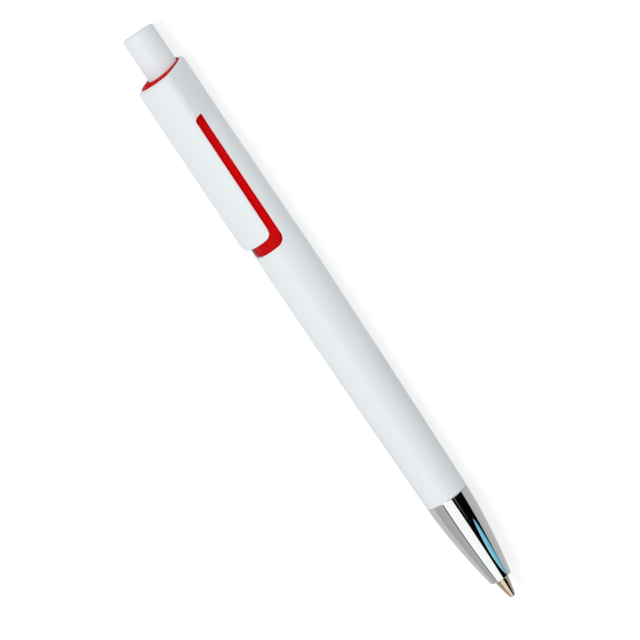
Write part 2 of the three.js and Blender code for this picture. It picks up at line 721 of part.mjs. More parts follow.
function pointHolder() {
  const shankBore = SHANK_RADIUS + PIECE_FIT;
  const boreTop = POINT_BODY_TOP_Z + SHANK_LENGTH + HOLDER_GAP;
  const channel = 2 * INK_CHANNEL;
  const plug = tubeBore - PIECE_FIT;
  return turned([
    [shankBore, holderLowZ],
    [HOLDER_RADIUS, holderLowZ],
    [HOLDER_RADIUS, SHOULDER_Z],
    [SHOULDER_RADIUS, SHOULDER_Z],
    [SHOULDER_RADIUS, shoulderTopZ],
    [plug, shoulderTopZ],
    [plug, shoulderTopZ + HOLDER_PLUG],
    [channel, shoulderTopZ + HOLDER_PLUG],
    [channel, boreTop],
    [shankBore, boreTop],
    [shankBore, holderLowZ],
  ]);
}

function inkTube() {
  return pipe(tubeBore, TUBE_RADIUS, shoulderTopZ + HOLDER_GAP, tubeTopZ);
}

function ink() {
  return rod(tubeBore - PIECE_FIT, shoulderTopZ + HOLDER_PLUG + HOLDER_GAP, tubeTopZ - INK_SHORT);
}

// Nose cone

function noseRadius(z) {
  const joint = NOSE_JOINT_Z - NOSE_JOINT_GAP;
  const share = (z - NOSE_END_Z) / (joint - NOSE_END_Z);
  return NOSE_END_RADIUS + (JOINT_RADIUS - NOSE_END_RADIUS) * (1 - (1 - share) ** NOSE_CURVE);
}

function noseCone() {
  const joint = NOSE_JOINT_Z - NOSE_JOINT_GAP;
  const hole = POINT_RADIUS + POINT_HOLE_CLEARANCE;
  const spigot = shellBore(NOSE_JOINT_Z) - SPIGOT_CLEARANCE;
  const top = joint + SPIGOT_LENGTH;
  const steps = 10;
  const profile = [
    [hole, NOSE_END_Z],
    [noseRadius(NOSE_END_Z) - NOSE_EDGE, NOSE_END_Z],
  ];
  for (let i = 0; i <= steps; i++) {
    const z = NOSE_END_Z + NOSE_EDGE + ((joint - NOSE_END_Z - NOSE_EDGE) * i) / steps;
    profile.push([noseRadius(z), z]);
  }
  profile.push([spigot, joint], [spigot, top], [NOSE_BORE, top], [NOSE_BORE, NOSE_SEAT_Z]);
  profile.push([hole, NOSE_SEAT_Z], [hole, NOSE_END_Z]);
  return turned(profile, AROUND);
}

// Return spring: one unbroken wire along a helix

function returnSpring() {
  const low = NOSE_SEAT_Z + SPRING_END_GAP + WIRE_RADIUS;
  const high = SHOULDER_Z - SPRING_END_GAP - WIRE_RADIUS;
  const stations = COILS * COIL_STEPS;
  const slope = Math.atan2(high - low, COILS * 2 * Math.PI * COIL_RADIUS);
  const points = [];
  for (let i = 0; i <= stations; i++) {
    const turn = (i / COIL_STEPS) * 2 * Math.PI;
    const [c, s] = [Math.cos(turn), Math.sin(turn)];
    const z = low + ((high - low) * i) / stations;
    for (let side = 0; side < WIRE_SIDES; side++) {
      const around = (side / WIRE_SIDES) * 2 * Math.PI;
      const out = COIL_RADIUS + WIRE_RADIUS * Math.cos(around);
      const up = WIRE_RADIUS * Math.sin(around);
      const back = up * Math.sin(slope);
      points.push(out * c + back * s, out * s - back * c, z + up * Math.cos(slope));
    }
  }
  const corners = [];
  for (let i = 0; i < stations; i++) {
    for (let side = 0; side < WIRE_SIDES; side++) {
      const a = i * WIRE_SIDES + side;
      const b = i * WIRE_SIDES + ((side + 1) % WIRE_SIDES);
      corners.push(a, a + WIRE_SIDES, b, b, a + WIRE_SIDES, b + WIRE_SIDES);
    }
  }
  const last = stations * WIRE_SIDES;
  for (let side = 1; side + 1 < WIRE_SIDES; side++) {
    corners.push(0, side, side + 1);
    corners.push(last, last + side + 1, last + side);
  }
  const geometry = new THREE.BufferGeometry();
  geometry.setAttribute("position", new THREE.Float32BufferAttribute(points, 3));
  geometry.setIndex(corners);
  console.log("spring: least gap between its curls " + leastGap(points).toFixed(2) + " mm");
  return solid(geometry);
}

// Least distance between points of the wire that lie more than half a turn apart along it.
function leastGap(points) {
  const apart = (COIL_STEPS / 2) * WIRE_SIDES;
  let least = Infinity;
  for (let i = 0; i < points.length / 3; i++) {
    for (let j = i + apart + WIRE_SIDES; j < points.length / 3; j++) {
      const dx = points[3 * i] - points[3 * j];
      const dy = points[3 * i + 1] - points[3 * j + 1];
      const dz = points[3 * i + 2] - points[3 * j + 2];
      least = Math.min(least, Math.hypot(dx, dy, dz));
    }
  }
  return least;
}

// Materials

const finish = (color, roughness, metalness = 0) =>
  new THREE.MeshStandardMaterial({ color, roughness, metalness });
const whitePlastic = finish("#e9eef2", 0.45);
const redPlastic = finish("#c8101a", 0.4);
const naturalPlastic = finish("#dfe3e4", 0.4);
const blueInk = finish("#142a7a", 0.3);
const chrome = finish("#dcdcdc", 0.05, 1);
const nickelSilver = finish("#c9b996", 0.2, 1);
const springSteel = finish("#b5b8ba", 0.3, 1);

// Assembly

function part(name, body, material) {
  const mesh = new THREE.Mesh(geometryOf(body), material);
  mesh.name = name;
  return mesh;
}

function group(...members) {
  const made = new THREE.Group();
  made.add(...members);
  return made;
}

const casing = group(
  part("barrel_shell", barrelShell(), whitePlastic),
  part("clip", clip(), whitePlastic),
  part("inner_sleeve", innerSleeve(), redPlastic),
  part("nose_cone", noseCone(), chrome),
);
const clickMechanism = group(
  part("button_cap", buttonCap(), whitePlastic),
  part("drive_cam", driveCam(), naturalPlastic),
  part("rotor_cam", rotorCam(), naturalPlastic),
  part("spring", returnSpring(), springSteel),
);
const refill = group(
  part("writing_ball", writingBall(), nickelSilver),
  part("writing_point", writingPoint(), nickelSilver),
  part("point_holder", pointHolder(), naturalPlastic),
  part("ink_tube", inkTube(), naturalPlastic),
  part("ink", ink(), blueInk),
);
const pen = group(casing, clickMechanism, refill);

// The pen lies along X with its clip on top: the button's end points to +X and the lowest facet rests on z = 0.
const lying = new THREE.Matrix4();
lying.makeBasis(new THREE.Vector3(0, -1, 0), new THREE.Vector3(0, 0, -1), new THREE.Vector3(1, 0, 0));
pen.quaternion.setFromRotationMatrix(lying);
pen.position.set(-BUTTON_TOP_Z / 2, 0, BARREL_RADIUS * Math.cos(Math.PI / AROUND));

const object = group(pen);
export default object;
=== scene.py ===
# %% [markdown]
# # A push-button ballpoint pen
# The pen lies on its back with the clip on top. It is a white moulded shell over a red sleeve, with a
# bright plated cone at the front and a push button at the back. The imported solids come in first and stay
# where they are: every surface made below is laid over one of them, in the same frame, in metres.
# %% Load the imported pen
import math

import bmesh
import bpy
import numpy as np
from mathutils import Matrix, Vector


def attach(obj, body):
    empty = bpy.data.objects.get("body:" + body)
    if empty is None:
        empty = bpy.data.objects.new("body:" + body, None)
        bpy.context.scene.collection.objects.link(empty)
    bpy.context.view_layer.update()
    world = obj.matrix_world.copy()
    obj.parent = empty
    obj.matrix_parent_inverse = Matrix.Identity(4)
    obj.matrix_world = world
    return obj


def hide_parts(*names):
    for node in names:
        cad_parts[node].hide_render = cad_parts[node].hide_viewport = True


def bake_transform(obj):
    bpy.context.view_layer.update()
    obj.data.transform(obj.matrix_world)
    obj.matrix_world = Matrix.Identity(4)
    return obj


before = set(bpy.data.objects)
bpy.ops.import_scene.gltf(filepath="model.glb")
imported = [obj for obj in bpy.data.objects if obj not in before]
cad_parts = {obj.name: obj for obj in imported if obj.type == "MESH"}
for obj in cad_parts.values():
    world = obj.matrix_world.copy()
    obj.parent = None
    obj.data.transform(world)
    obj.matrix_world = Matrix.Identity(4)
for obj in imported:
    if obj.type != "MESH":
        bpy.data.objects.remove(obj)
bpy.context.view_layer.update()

print("solids:", sorted(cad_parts))

# %% [markdown]
# ## Working along the pen
# The pen's sizes are kept in millimetres along its own axis: `z` runs from the ball's tip up to the button,
# `front` is the distance from the axis towards the clip and `side` is the distance to the right of someone
# who faces the clip. One function carries such points into the frame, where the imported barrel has 64 sides
# and lies on one of them.
# %% From the pen's own sizes to the frame
LENGTH = 140.7
BARREL_RADIUS, BARREL_SIDES = 5.5, 64
AXIS_HEIGHT = BARREL_RADIUS * math.cos(math.pi / BARREL_SIDES)


def placed(side, front, z):
    """Frame point in metres: X is z less half the length, Y is minus side, Z is front above the axis."""
    side, front, z = np.broadcast_arrays(side, front, z)
    return np.stack([z - LENGTH / 2, -side, front + AXIS_HEIGHT], axis=-1) / 1000


def round_axis(angle, radius, z):
    """Frame point at an angle from the front: side is r sin a and front is r cos a."""
    return placed(radius * np.sin(angle), radius * np.cos(angle), z)


def pairs(first, second):
    """Two arrays of numbers as one array of pairs."""
    return np.stack([first, second], axis=-1)


def unit(v):
    """The direction of each vector: it is divided by its length."""
    return v / np.linalg.norm(v, axis=-1, keepdims=True)


def full_turn(count):
    """Evenly spaced angles once round, without the last one, which is the first again."""
    return np.arange(count) / count * 2 * np.pi


def quarter(count):
    """Evenly spaced angles over a quarter turn, ends included."""
    return np.radians(np.linspace(0, 90, count))


def in_scene(name, data):
    """A new object in the scene that shows the data."""
    made = bpy.data.objects.new(name, data)
    bpy.context.collection.objects.link(made)
    return made


print("axis height, mm:", round(AXIS_HEIGHT, 3))

# %% [markdown]
# ## Camera
# The photograph looks at the pen from a little on the button's side, with the clip turned about 36
# degrees to the left, from far away with a long lens. The camera's own axes are worked out from two
# directions: where it stands, and where the pen's length has to run in the picture.
# %% Camera
CAMERA_TILT = math.radians(6.1)
CLIP_TURN = math.radians(36.0)
CAMERA_DISTANCE = 0.730
PICTURE_WIDTH = 0.1320
SENSOR_WIDTH = 36.0
POINT_RUNS = np.array([0.55495, 0.83190])
AIM_Z = 70.68
AIM_ASIDE = 1.53

back = unit(np.array([
    math.sin(CAMERA_TILT),
    -math.cos(CAMERA_TILT) * math.sin(CLIP_TURN),
    math.cos(CAMERA_TILT) * math.cos(CLIP_TURN),
]))
along = np.array([-1.0, 0.0, 0.0])
along = unit(along - back * (along @ back))
across = np.cross(back, along)
right = POINT_RUNS[0] * along + POINT_RUNS[1] * across
up = -POINT_RUNS[1] * along + POINT_RUNS[0] * across
camera_spot = placed(0.0, 0.0, AIM_Z) - across * AIM_ASIDE / 1000 + back * CAMERA_DISTANCE

camera = in_scene("camera", bpy.data.cameras.new("camera"))
camera.data.sensor_width = SENSOR_WIDTH
camera.data.lens = SENSOR_WIDTH * CAMERA_DISTANCE / PICTURE_WIDTH
camera.data.clip_start = 0.01
camera.data.clip_end = 50.0
axes = np.eye(4)
axes[:3] = np.stack([right, up, back, camera_spot], axis=-1)
camera.matrix_world = Matrix(axes.tolist())
bpy.context.scene.camera = camera
print("lens, mm:", round(camera.data.lens, 1))

# %% [markdown]
# ## Floor and light
# The photograph is a cut-out on white, lit very softly: the lit side of the barrel is only a third brighter
# than its shaded side. Bright surroundings give most of that light, the pen lies on a light table that
# glows a little, and one large lamp a little to the left of the camera makes the fall across the barrel.
# The table is a real surface, so the pen keeps a faint shadow, and it adds white only to what is seen.
# %% Helpers for materials
def new_material(name):
    """A node material whose tree is still empty."""
    material = bpy.data.materials.new(name)
    material.use_nodes = True
    material.node_tree.nodes.clear()
    return material, material.node_tree


def add(tree, kind, sockets=None, **settings):
    """A new node with its settings; each socket gets a value, or a link from another node's output."""
    node = tree.nodes.new("ShaderNode" + kind)
    for name, value in settings.items():
        setattr(node, name, value)
    for name, value in (sockets or {}).items():
        if isinstance(value, bpy.types.NodeSocket):
            tree.links.new(value, node.inputs[name])
        else:
            node.inputs[name].default_value = value
    return node


def seen_directly(tree):
    """1 for rays from the camera, from mirrors and through glass, 0 for rays that carry light to the pen."""
    path = add(tree, "LightPath").outputs
    first = add(tree, "Math", {0: path["Is Camera Ray"], 1: path["Is Glossy Ray"]}, operation="MAXIMUM")
    second = add(tree, "Math", {0: first.outputs[0], 1: path["Is Transmission Ray"]}, operation="MAXIMUM")
    return second.outputs[0]


def paint(red, green, blue):
    """A picture colour from 0 to 255 as the shader's linear colour, by the standard curve of screens."""
    c = np.array([red, green, blue]) / 255.0
    linear = np.where(c <= 0.04045, c / 12.92, ((c + 0.055) / 1.055) ** 2.4)
    return (*linear.tolist(), 1.0)


# %% Floor
FLOOR_HALF = 3.0
TABLE_GREY, WHITE = (0.35, 0.35, 0.35, 1), (1, 1, 1, 1)
TABLE_GLOW = 0.31
WHITE_GLOW = 0.40
floor_mesh = bpy.data.meshes.new("floor")
corners = [(x * FLOOR_HALF, y * FLOOR_HALF, 0) for x, y in ((-1, -1), (1, -1), (1, 1), (-1, 1))]
floor_mesh.from_pydata(corners, [], [(0, 1, 2, 3)])
floor = in_scene("floor", floor_mesh)

floor_material, tree = new_material("studio_floor")
paper = add(tree, "BsdfDiffuse", {"Color": TABLE_GREY})
lit = add(tree, "Math", {0: seen_directly(tree), 1: WHITE_GLOW, 2: TABLE_GLOW}, operation="MULTIPLY_ADD")
glow = add(tree, "Emission", {"Color": WHITE, "Strength": lit.outputs[0]})
both = add(tree, "AddShader", {0: paper.outputs[0], 1: glow.outputs[0]})
add(tree, "OutputMaterial", {"Surface": both.outputs[0]})
floor.data.materials.append(floor_material)
print("floor half width, m:", FLOOR_HALF)

# %% Lamps and world
scene = bpy.context.scene
scene.view_settings.view_transform = "Standard"
world = bpy.data.worlds.new("studio")
scene.world = world
world.use_nodes = True
WORLD_LIGHT = 0.68
KEY_ASIDE = math.radians(30)
KEY_DISTANCE, KEY_SIZE, KEY_WATTS = 1.6, 0.7, 7.3
tree = world.node_tree
tree.nodes.clear()
light = add(tree, "Background", {"Color": WHITE, "Strength": WORLD_LIGHT})
backdrop = add(tree, "Background", {"Color": WHITE, "Strength": 1.0})
chosen = add(tree, "MixShader", {0: seen_directly(tree), 1: light.outputs[0], 2: backdrop.outputs[0]})
add(tree, "OutputWorld", {"Surface": chosen.outputs[0]})

lamp = bpy.data.lights.new("key_lamp", "AREA")
lamp.shape = "RECTANGLE"
lamp.size = KEY_SIZE
lamp.size_y = KEY_SIZE
lamp.energy = KEY_WATTS
key_lamp = in_scene("key_lamp", lamp)
towards = Vector(unit(back * math.cos(KEY_ASIDE) - across * math.sin(KEY_ASIDE)).tolist()).normalized()
key_lamp.location = towards * KEY_DISTANCE
key_lamp.rotation_mode = "QUATERNION"
key_lamp.rotation_quaternion = (-towards).to_track_quat("-Z", "Y")

# %% [markdown]
# ## From arrays to a mesh
# Each surface is a grid of points in rows and columns. Neighbouring grids share their border points, and
# where a grid ends on the axis its last row is one point repeated. Merging points that lie together then
# closes the seams and the poles, and edges sharper than an angle stay sharp when the rest is smoothed.
# %% Grids to pieces
def grid_faces(rows, columns, first, round_columns):
    """Quads between neighbouring rows and columns, as numbers of points; columns may close on themselves."""
    strips = columns if round_columns else columns - 1
    row, column = np.meshgrid(np.arange(rows - 1), np.arange(strips), indexing="ij")
    low, high = row * columns, (row + 1) * columns
    beside = (column + 1) % columns
    quads = np.stack([low + column, low + beside, high + beside, high + column], axis=-1)
    return quads.reshape(-1, 4) + first


MERGE_DISTANCE, SHORTEST_EDGE = 5e-8, 1e-8


def piece(name, grids, body, node, material, sharp=32.0):
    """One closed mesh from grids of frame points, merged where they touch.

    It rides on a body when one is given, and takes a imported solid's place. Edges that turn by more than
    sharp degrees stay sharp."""
    points, quads, first = [], [], 0
    for grid in grids:
        rows, columns = grid.shape[:2]
        points.append(grid.reshape(-1, 3))
        quads.append(grid_faces(rows, columns, first, True))
        first += rows * columns
    mesh = bpy.data.meshes.new(name)
    mesh.from_pydata(np.concatenate(points).tolist(), [], np.concatenate(quads).tolist())
    shape = bmesh.new()
    shape.from_mesh(mesh)
    bmesh.ops.remove_doubles(shape, verts=shape.verts, dist=MERGE_DISTANCE)
    bmesh.ops.dissolve_degenerate(shape, edges=shape.edges, dist=SHORTEST_EDGE)
    bmesh.ops.recalc_face_normals(shape, faces=shape.faces)
    open_edges = sum(1 for edge in shape.edges if len(edge.link_faces) != 2)
    shape.to_mesh(mesh)
    shape.free()
    mesh.polygons.foreach_set("use_smooth", np.ones(len(mesh.polygons), bool))
    mesh.set_sharp_from_angle(angle=math.radians(sharp))
    made = in_scene(name, mesh)
    made.data.materials.append(material)
    if body:
        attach(made, body)
    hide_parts(node)
    print(name, "faces:", len(mesh.polygons), "open edges:", open_edges)
    return made


def turned(profile, around=96):
    """A profile of (radius, z) rows carried once round the axis."""
    profile = np.asarray(profile, float)
    return round_axis(full_turn(around), profile[:, :1], profile[:, 1:])


def bent(start, bend, end, t):
    """Point at a share t of the curve that leaves start towards bend and reaches end from there."""
    return (1 - t) ** 2 * start + 2 * t * (1 - t) * bend + t**2 * end


def eased(profile, radii, steps=5):
    """A profile with rounded corners.

    Each corner gives way to points of a curve that leaves and meets its two sides at the given distance,
    as far as half of each side allows."""
    profile = [np.asarray(p, float) for p in profile]
    made = [profile[0]]
    share = np.linspace(0, 1, steps + 1)[:, None]
    for before, corner, after, radius in zip(profile, profile[1:], profile[2:], radii):
        if radius == 0:
            made.append(corner)
            continue
        to_before, to_after = before - corner, after - corner
        start = corner + to_before * min(0.5, radius / np.linalg.norm(to_before))
        end = corner + to_after * min(0.5, radius / np.linalg.norm(to_after))
        made.extend(bent(start, corner, end, share))
    made.append(profile[-1])
    return np.array(made)


def smooth(v):
    """Nought below 0, one above 1, and three v squared less two v cubed between."""
    v = np.clip(v, 0, 1)
    return v * v * (3 - 2 * v)


# %% [markdown]
# ## Plastics
# The shell, the clip and the button are moulded in a satin white plastic. Close to, such a surface has a
# very fine pebble from the tool and the faintest clouding where the plastic flowed. Noise on Object
# coordinates gives both, with the clouding millimetres wide and the pebble some hundredths of one. The red
# sleeve's colour carries painted light along the pen: it is painted brighter along the part that the clip and
# the window's walls shade, to lift that shade, and deeper at the collar and in the open foot of the window,
# where it is lit.
# %% Plastic materials
CLOUD_SCALE, PEBBLE_SCALE, BUMP_HEIGHT = 180.0, 9000.0, 0.00001


def varied(name, colours, roughness, rough_spread, noise, on_shader, pulled=None):
    """A material whose colour and roughness follow one noise, which may be pulled out along an axis."""
    material, tree = new_material(name)
    place = add(tree, "TexCoord").outputs["Object"]
    noise_place = add(tree, "Mapping", {"Vector": place, "Scale": pulled}).outputs[0] if pulled else place
    marks = add(tree, "TexNoise", {"Vector": noise_place, **noise}).outputs["Fac"]
    tint = add(tree, "Mix", {"A": colours[0], "B": colours[1], "Factor": marks}, data_type="RGBA")
    spread = add(tree, "MapRange", {
        "Value": marks, "To Min": roughness - rough_spread, "To Max": roughness + rough_spread})
    shader = add(tree, "BsdfPrincipled", {
        "Base Color": tint.outputs["Result"], "Roughness": spread.outputs["Result"], **on_shader})
    add(tree, "OutputMaterial", {"Surface": shader.outputs[0]})
    return material, shader, place


def fine_bump(tree, shader, texture, strength):
    """A bump on the shader whose height is a texture."""
    height = texture.outputs["Fac"]
    bump = add(tree, "Bump", {"Strength": strength, "Distance": BUMP_HEIGHT, "Height": height})
    tree.links.new(bump.outputs["Normal"], shader.inputs["Normal"])


def plastic(name, colour, other_colour, roughness, rough_spread, pebble, shine=0.4):
    """A moulded plastic: two close colours clouded by noise, a varied roughness and a fine bump."""
    clouds = {"Scale": CLOUD_SCALE, "Detail": 3.0}
    material, shader, place = varied(name, (colour, other_colour), roughness, rough_spread, clouds,
                                     {"Specular IOR Level": shine})
    tree = material.node_tree
    grain = add(tree, "TexNoise", {"Vector": place, "Scale": PEBBLE_SCALE, "Detail": 2.0})
    fine_bump(tree, shader, grain, pebble)
    return material


def painted_light_along_pen(material, colour, low_x, high_x, blend):
    """Painted light: between two distances along X, where the sleeve lies in shade, the plastic keeps its
    brighter colour to lift that shade, and beyond them, where it is lit, it goes to a deeper one.
    """
    tree = material.node_tree
    place = add(tree, "TexCoord").outputs["Object"]
    along_pen = add(tree, "SeparateXYZ", {"Vector": place}).outputs["X"]
    fades = [add(tree, "MapRange", {"Value": along_pen, "From Min": start, "From Max": end},
                 interpolation_type="SMOOTHSTEP").outputs["Result"]
             for start, end in ((low_x - blend, low_x), (high_x + blend, high_x))]
    shade_lift_share = add(tree, "Math", {0: fades[0], 1: fades[1]}, operation="MULTIPLY")
    base = tree.nodes["Principled BSDF"].inputs["Base Color"]
    plain = base.links[0].from_socket
    mixed = add(tree, "Mix", {"A": colour, "B": plain, "Factor": shade_lift_share.outputs[0]}, data_type="RGBA")
    tree.links.new(mixed.outputs["Result"], base)


# Painted light: the span along X where the clip and the window's walls shade the sleeve, and where its red is
# painted brighter.
SHADE_LIFTED_SPAN = {"low_x": 0.0215, "high_x": 0.0505, "blend": 0.0015}
white_plastic = plastic("satin_white", paint(237, 242, 245), paint(233, 238, 242), 0.46, 0.03, 0.25)
# The sleeve's red is painted brighter than it is in its shaded span, and deeper where the collar and the
# window's foot are lit: painted light.
red_plastic = plastic("bright_red", paint(250, 4, 10), paint(244, 3, 8), 0.50, 0.04, 0.2, 0.05)
painted_light_along_pen(red_plastic, paint(209, 3, 8), **SHADE_LIFTED_SPAN)
milky_plastic = plastic("milky_natural", paint(226, 228, 224), paint(216, 219, 216), 0.42, 0.05, 0.2)
blue_ink = plastic("blue_paste", paint(22, 40, 120), paint(14, 28, 96), 0.25, 0.05, 0.1)
print("plastics made")

# %% [markdown]
# ## Metals
# The cone is plated so brightly that it shows the room: what makes it look like metal is what there is to
# reflect. The point is turned from nickel silver and keeps fine rings from the lathe, the spring is drawn
# wire. The rings come from a wave along X, and wipe marks from noise that is pulled out along the plate and
# across the point.
# %% Metal materials
MARKS_SCALE, LATHE_SCALE, DARKER_SHARE = 900.0, 4000.0, 0.93


def metal(name, colour, roughness, rough_spread, rings=0.0, pulled=(1.0, 1.0, 1.0)):
    """A metal whose roughness is varied by noise that may be pulled out, and may have turned rings."""
    darker = tuple(DARKER_SHARE * c for c in colour[:3]) + (1.0,)
    scratches = {"Scale": MARKS_SCALE, "Detail": 4.0}
    material, shader, place = varied(name, (colour, darker), roughness, rough_spread, scratches,
                                     {"Metallic": 1.0}, pulled)
    if rings:
        tree = material.node_tree
        lathe = add(tree, "TexWave", {"Vector": place, "Scale": LATHE_SCALE, "Distortion": 0.6},
                    wave_type="BANDS", bands_direction="X")
        fine_bump(tree, shader, lathe, rings)
    return material


chrome_plate = metal("bright_plate", (0.86, 0.87, 0.88, 1), 0.03, 0.01, 0.0, (0.15, 1, 1))
nickel_silver = metal("turned_nickel_silver", paint(222, 204, 178), 0.09, 0.03, 0.02, (1, 0.2, 0.2))
spring_wire = metal("drawn_wire", paint(190, 192, 194), 0.28, 0.08)
carbide = metal("ground_carbide", paint(150, 150, 154), 0.08, 0.03)
print("metals made")

# %% [markdown]
# ## Outline of the shell
# The barrel is round and tapers towards the cone. Near the button it swells into a head with a crowned
# front, two soft corners and flanks that run into a round back, each an arc that touches the next. A ray
# from the axis leaves the head where it leaves the arc that it crosses, which gives one radius per angle.
# %% Sizes and outlines of the shell
NOSE_JOINT_Z = 25.4
SHELL_END_Z = 25.25
JOINT_RADIUS = 4.8
BARREL_CURVE = 1.4
WIDEST_Z = 85.6
HEAD_BLEND_Z = 116.6
HEAD_FULL_Z = 120.1
RIM_Z = 131.15
RIM_SLOPE = 0.197
RIM_ROUND = 0.95
HEAD_RADIUS = 5.15
HEAD_DEPTH = 7.04
HEAD_WALL = 1.0
SHELL_WALL = 0.82
FLANK_BLEND = math.radians(11.2)
CROWN_RADIUS, CORNER_RADIUS, CORNER_X, FLANK_RADIUS = 8.19, 2.0, 2.72, 14.0

corner_angle = math.asin(CORNER_X / (CROWN_RADIUS - CORNER_RADIUS))
to_crown = np.array([math.sin(corner_angle), math.cos(corner_angle)])
crown_centre = np.array([0.0, HEAD_DEPTH - CROWN_RADIUS])
corner_centre = crown_centre + (CROWN_RADIUS - CORNER_RADIUS) * to_crown
apart = np.linalg.norm(corner_centre)
to_corner, to_axis = FLANK_RADIUS - CORNER_RADIUS, FLANK_RADIUS - HEAD_RADIUS
lengthwise = (to_axis**2 - to_corner**2 + apart**2) / (2 * apart)
sideways = math.sqrt(to_axis**2 - lengthwise**2)
ux, uf = corner_centre / apart
flank_centre = np.array([ux * lengthwise - uf * sideways, uf * lengthwise + ux * sideways])
crown_end = math.atan2(*(corner_centre + CORNER_RADIUS * to_crown))
corner_end = math.atan2(*(corner_centre + CORNER_RADIUS * unit(corner_centre - flank_centre)))
flank_end = math.atan2(*(-flank_centre))


def ray_exit(angle, centre, radius):
    """Distance at which the ray at an angle from the front leaves a circle round the axis or ahead of it."""
    run = centre[0] * np.sin(angle) + centre[1] * np.cos(angle)
    return run + np.sqrt(np.maximum(0, run**2 - centre @ centre + radius**2))


def head_radius(angle):
    """The head's radius: crown, corner, flank and round back, one after another from the front."""
    turn = np.abs(angle)
    return np.select(
        [turn <= crown_end, turn <= corner_end, turn <= flank_end],
        [ray_exit(turn, crown_centre, CROWN_RADIUS), ray_exit(turn, corner_centre, CORNER_RADIUS),
         ray_exit(turn, flank_centre, FLANK_RADIUS)], HEAD_RADIUS)


def barrel_radius(z):
    """Straight from the widest place to the head, and a power of the distance from there to the cone."""
    up_share = np.clip((z - WIDEST_Z) / (HEAD_BLEND_Z - WIDEST_Z), 0, 1)
    down_share = np.clip((WIDEST_Z - z) / (WIDEST_Z - NOSE_JOINT_Z), 0, 1)
    return (BARREL_RADIUS + (HEAD_RADIUS - BARREL_RADIUS) * up_share
            - (BARREL_RADIUS - JOINT_RADIUS) * down_share**BARREL_CURVE)


CLIP_ROOT_Z, FRONT_LEAD, FRONT_SWELL = 118.4, 0.9, 0.6


def shell_radius(angle, z):
    """The round barrel swells smoothly into the head; in front it is the whole head above the clip's root."""
    flank_share = smooth((z - HEAD_BLEND_Z) / (HEAD_FULL_Z - HEAD_BLEND_Z))
    front_share = smooth((z - CLIP_ROOT_Z + FRONT_LEAD) / FRONT_SWELL)
    side = smooth((np.abs(angle) - corner_end) / FLANK_BLEND)
    share = front_share + (flank_share - front_share) * side
    return barrel_radius(z) + (head_radius(angle) - barrel_radius(z)) * share


def on_shell(angle, z, inset=0.0):
    """Frame points on the shell's outside, or below it by the inset."""
    return round_axis(angle, shell_radius(angle, z) - inset, z)


print("corners of the head, degrees:", np.round(np.degrees([crown_end, corner_end, flank_end]), 1).tolist())

# %% [markdown]
# ## Window round the clip
# The shell has a window that the clip lies in. A window could be cut out with a Boolean, but its border
# then crosses the grid anywhere and the shading breaks up there. Here the window's outline is drawn first,
# as a list of angles and heights: the bottom, a corner, the straight bank, a horn that turns in to the
# clip's root, and the root. The grid's rows grow from it outwards, as rings do round a stone in water,
# until they meet the plain rings of the barrel and the head.
# %% Outline of the window
WINDOW_BOTTOM_Z = 88.35
WINDOW_CORNER_Z = 119.87
WINDOW_HALF = 4.45
WINDOW_CORNER = 1.85
WINDOW_ARCH = 0.35
ARCH_SHARE = 0.4
CLIP_HALF = 4.05
CLIP_EDGE_FRONT = corner_centre[1] + math.sqrt(CORNER_RADIUS**2 - (CLIP_HALF - CORNER_X) ** 2)
CLIP_EDGE = math.atan2(CLIP_HALF, CLIP_EDGE_FRONT)
TOP_OF_BANK = math.radians(51.7)
EDGE_ROUND = 0.22
HORN_LEAN, HORN_RISE = 0.03, 0.05
AROUND_HALF, ALONG_BACK = 96, 40
BOTTOM_COLUMNS, CORNER_COLUMNS, BANK_COLUMNS, HORN_COLUMNS, CROWN_COLUMNS = 30, 25, 161, 30, 37
GRID_LOW_Z, GRID_HIGH_Z = 86.0, 122.0
HAIR = 1e-9


def curve(start, bend, end, count):
    """Points along a curve, without its end, which the next stretch starts with."""
    return bent(np.array(start), np.array(bend), np.array(end), np.arange(count)[:, None] / count)


def window_half():
    """Angle and height of the outline, from the bottom's middle round the right bank to the clip's root."""
    rise = ARCH_SHARE * WINDOW_ARCH
    inner = WINDOW_HALF - WINDOW_CORNER
    x = np.arange(BOTTOM_COLUMNS) / BOTTOM_COLUMNS * inner
    bottom = pairs(x, WINDOW_BOTTOM_Z + rise * (x / inner) ** 2)
    top_of_corner = WINDOW_BOTTOM_Z + WINDOW_ARCH + WINDOW_CORNER
    corner = curve([inner, WINDOW_BOTTOM_Z + rise], [WINDOW_HALF, WINDOW_BOTTOM_Z + 2 * rise],
                   [WINDOW_HALF, top_of_corner], CORNER_COLUMNS)
    flat = np.concatenate([bottom, corner])
    low_part = pairs(np.arcsin(flat[:, 0] / barrel_radius(flat[:, 1])), flat[:, 1])
    bank_angle = float(np.arcsin(WINDOW_HALF / barrel_radius(top_of_corner)))
    z = top_of_corner + np.arange(BANK_COLUMNS) / BANK_COLUMNS * (WINDOW_CORNER_Z - top_of_corner)
    lean = smooth((z - HEAD_BLEND_Z) / (WINDOW_CORNER_Z - HEAD_BLEND_Z))
    bank = pairs(bank_angle + (TOP_OF_BANK - bank_angle) * lean, z)
    horn = curve([TOP_OF_BANK, WINDOW_CORNER_Z], [CLIP_EDGE - HORN_LEAN, WINDOW_CORNER_Z + HORN_RISE],
                 [CLIP_EDGE, CLIP_ROOT_Z], HORN_COLUMNS)
    crown = np.linspace([CLIP_EDGE, CLIP_ROOT_Z], [0.0, CLIP_ROOT_Z], CROWN_COLUMNS)
    return np.concatenate([low_part, bank, horn, crown])


def mirrored(half):
    """A whole ring from its right half: the left half is the same with the angle's sign turned."""
    left = half[-2:0:-1] * np.array([-1.0, 1.0])
    return np.concatenate([half, left])


half_window = window_half()
window = mirrored(half_window)
window_angle, window_z = window.T
crown_columns = (np.abs(window_angle) <= CLIP_EDGE + HAIR) & (np.abs(window_z - CLIP_ROOT_Z) < HAIR)
print("columns round the window:", len(window))

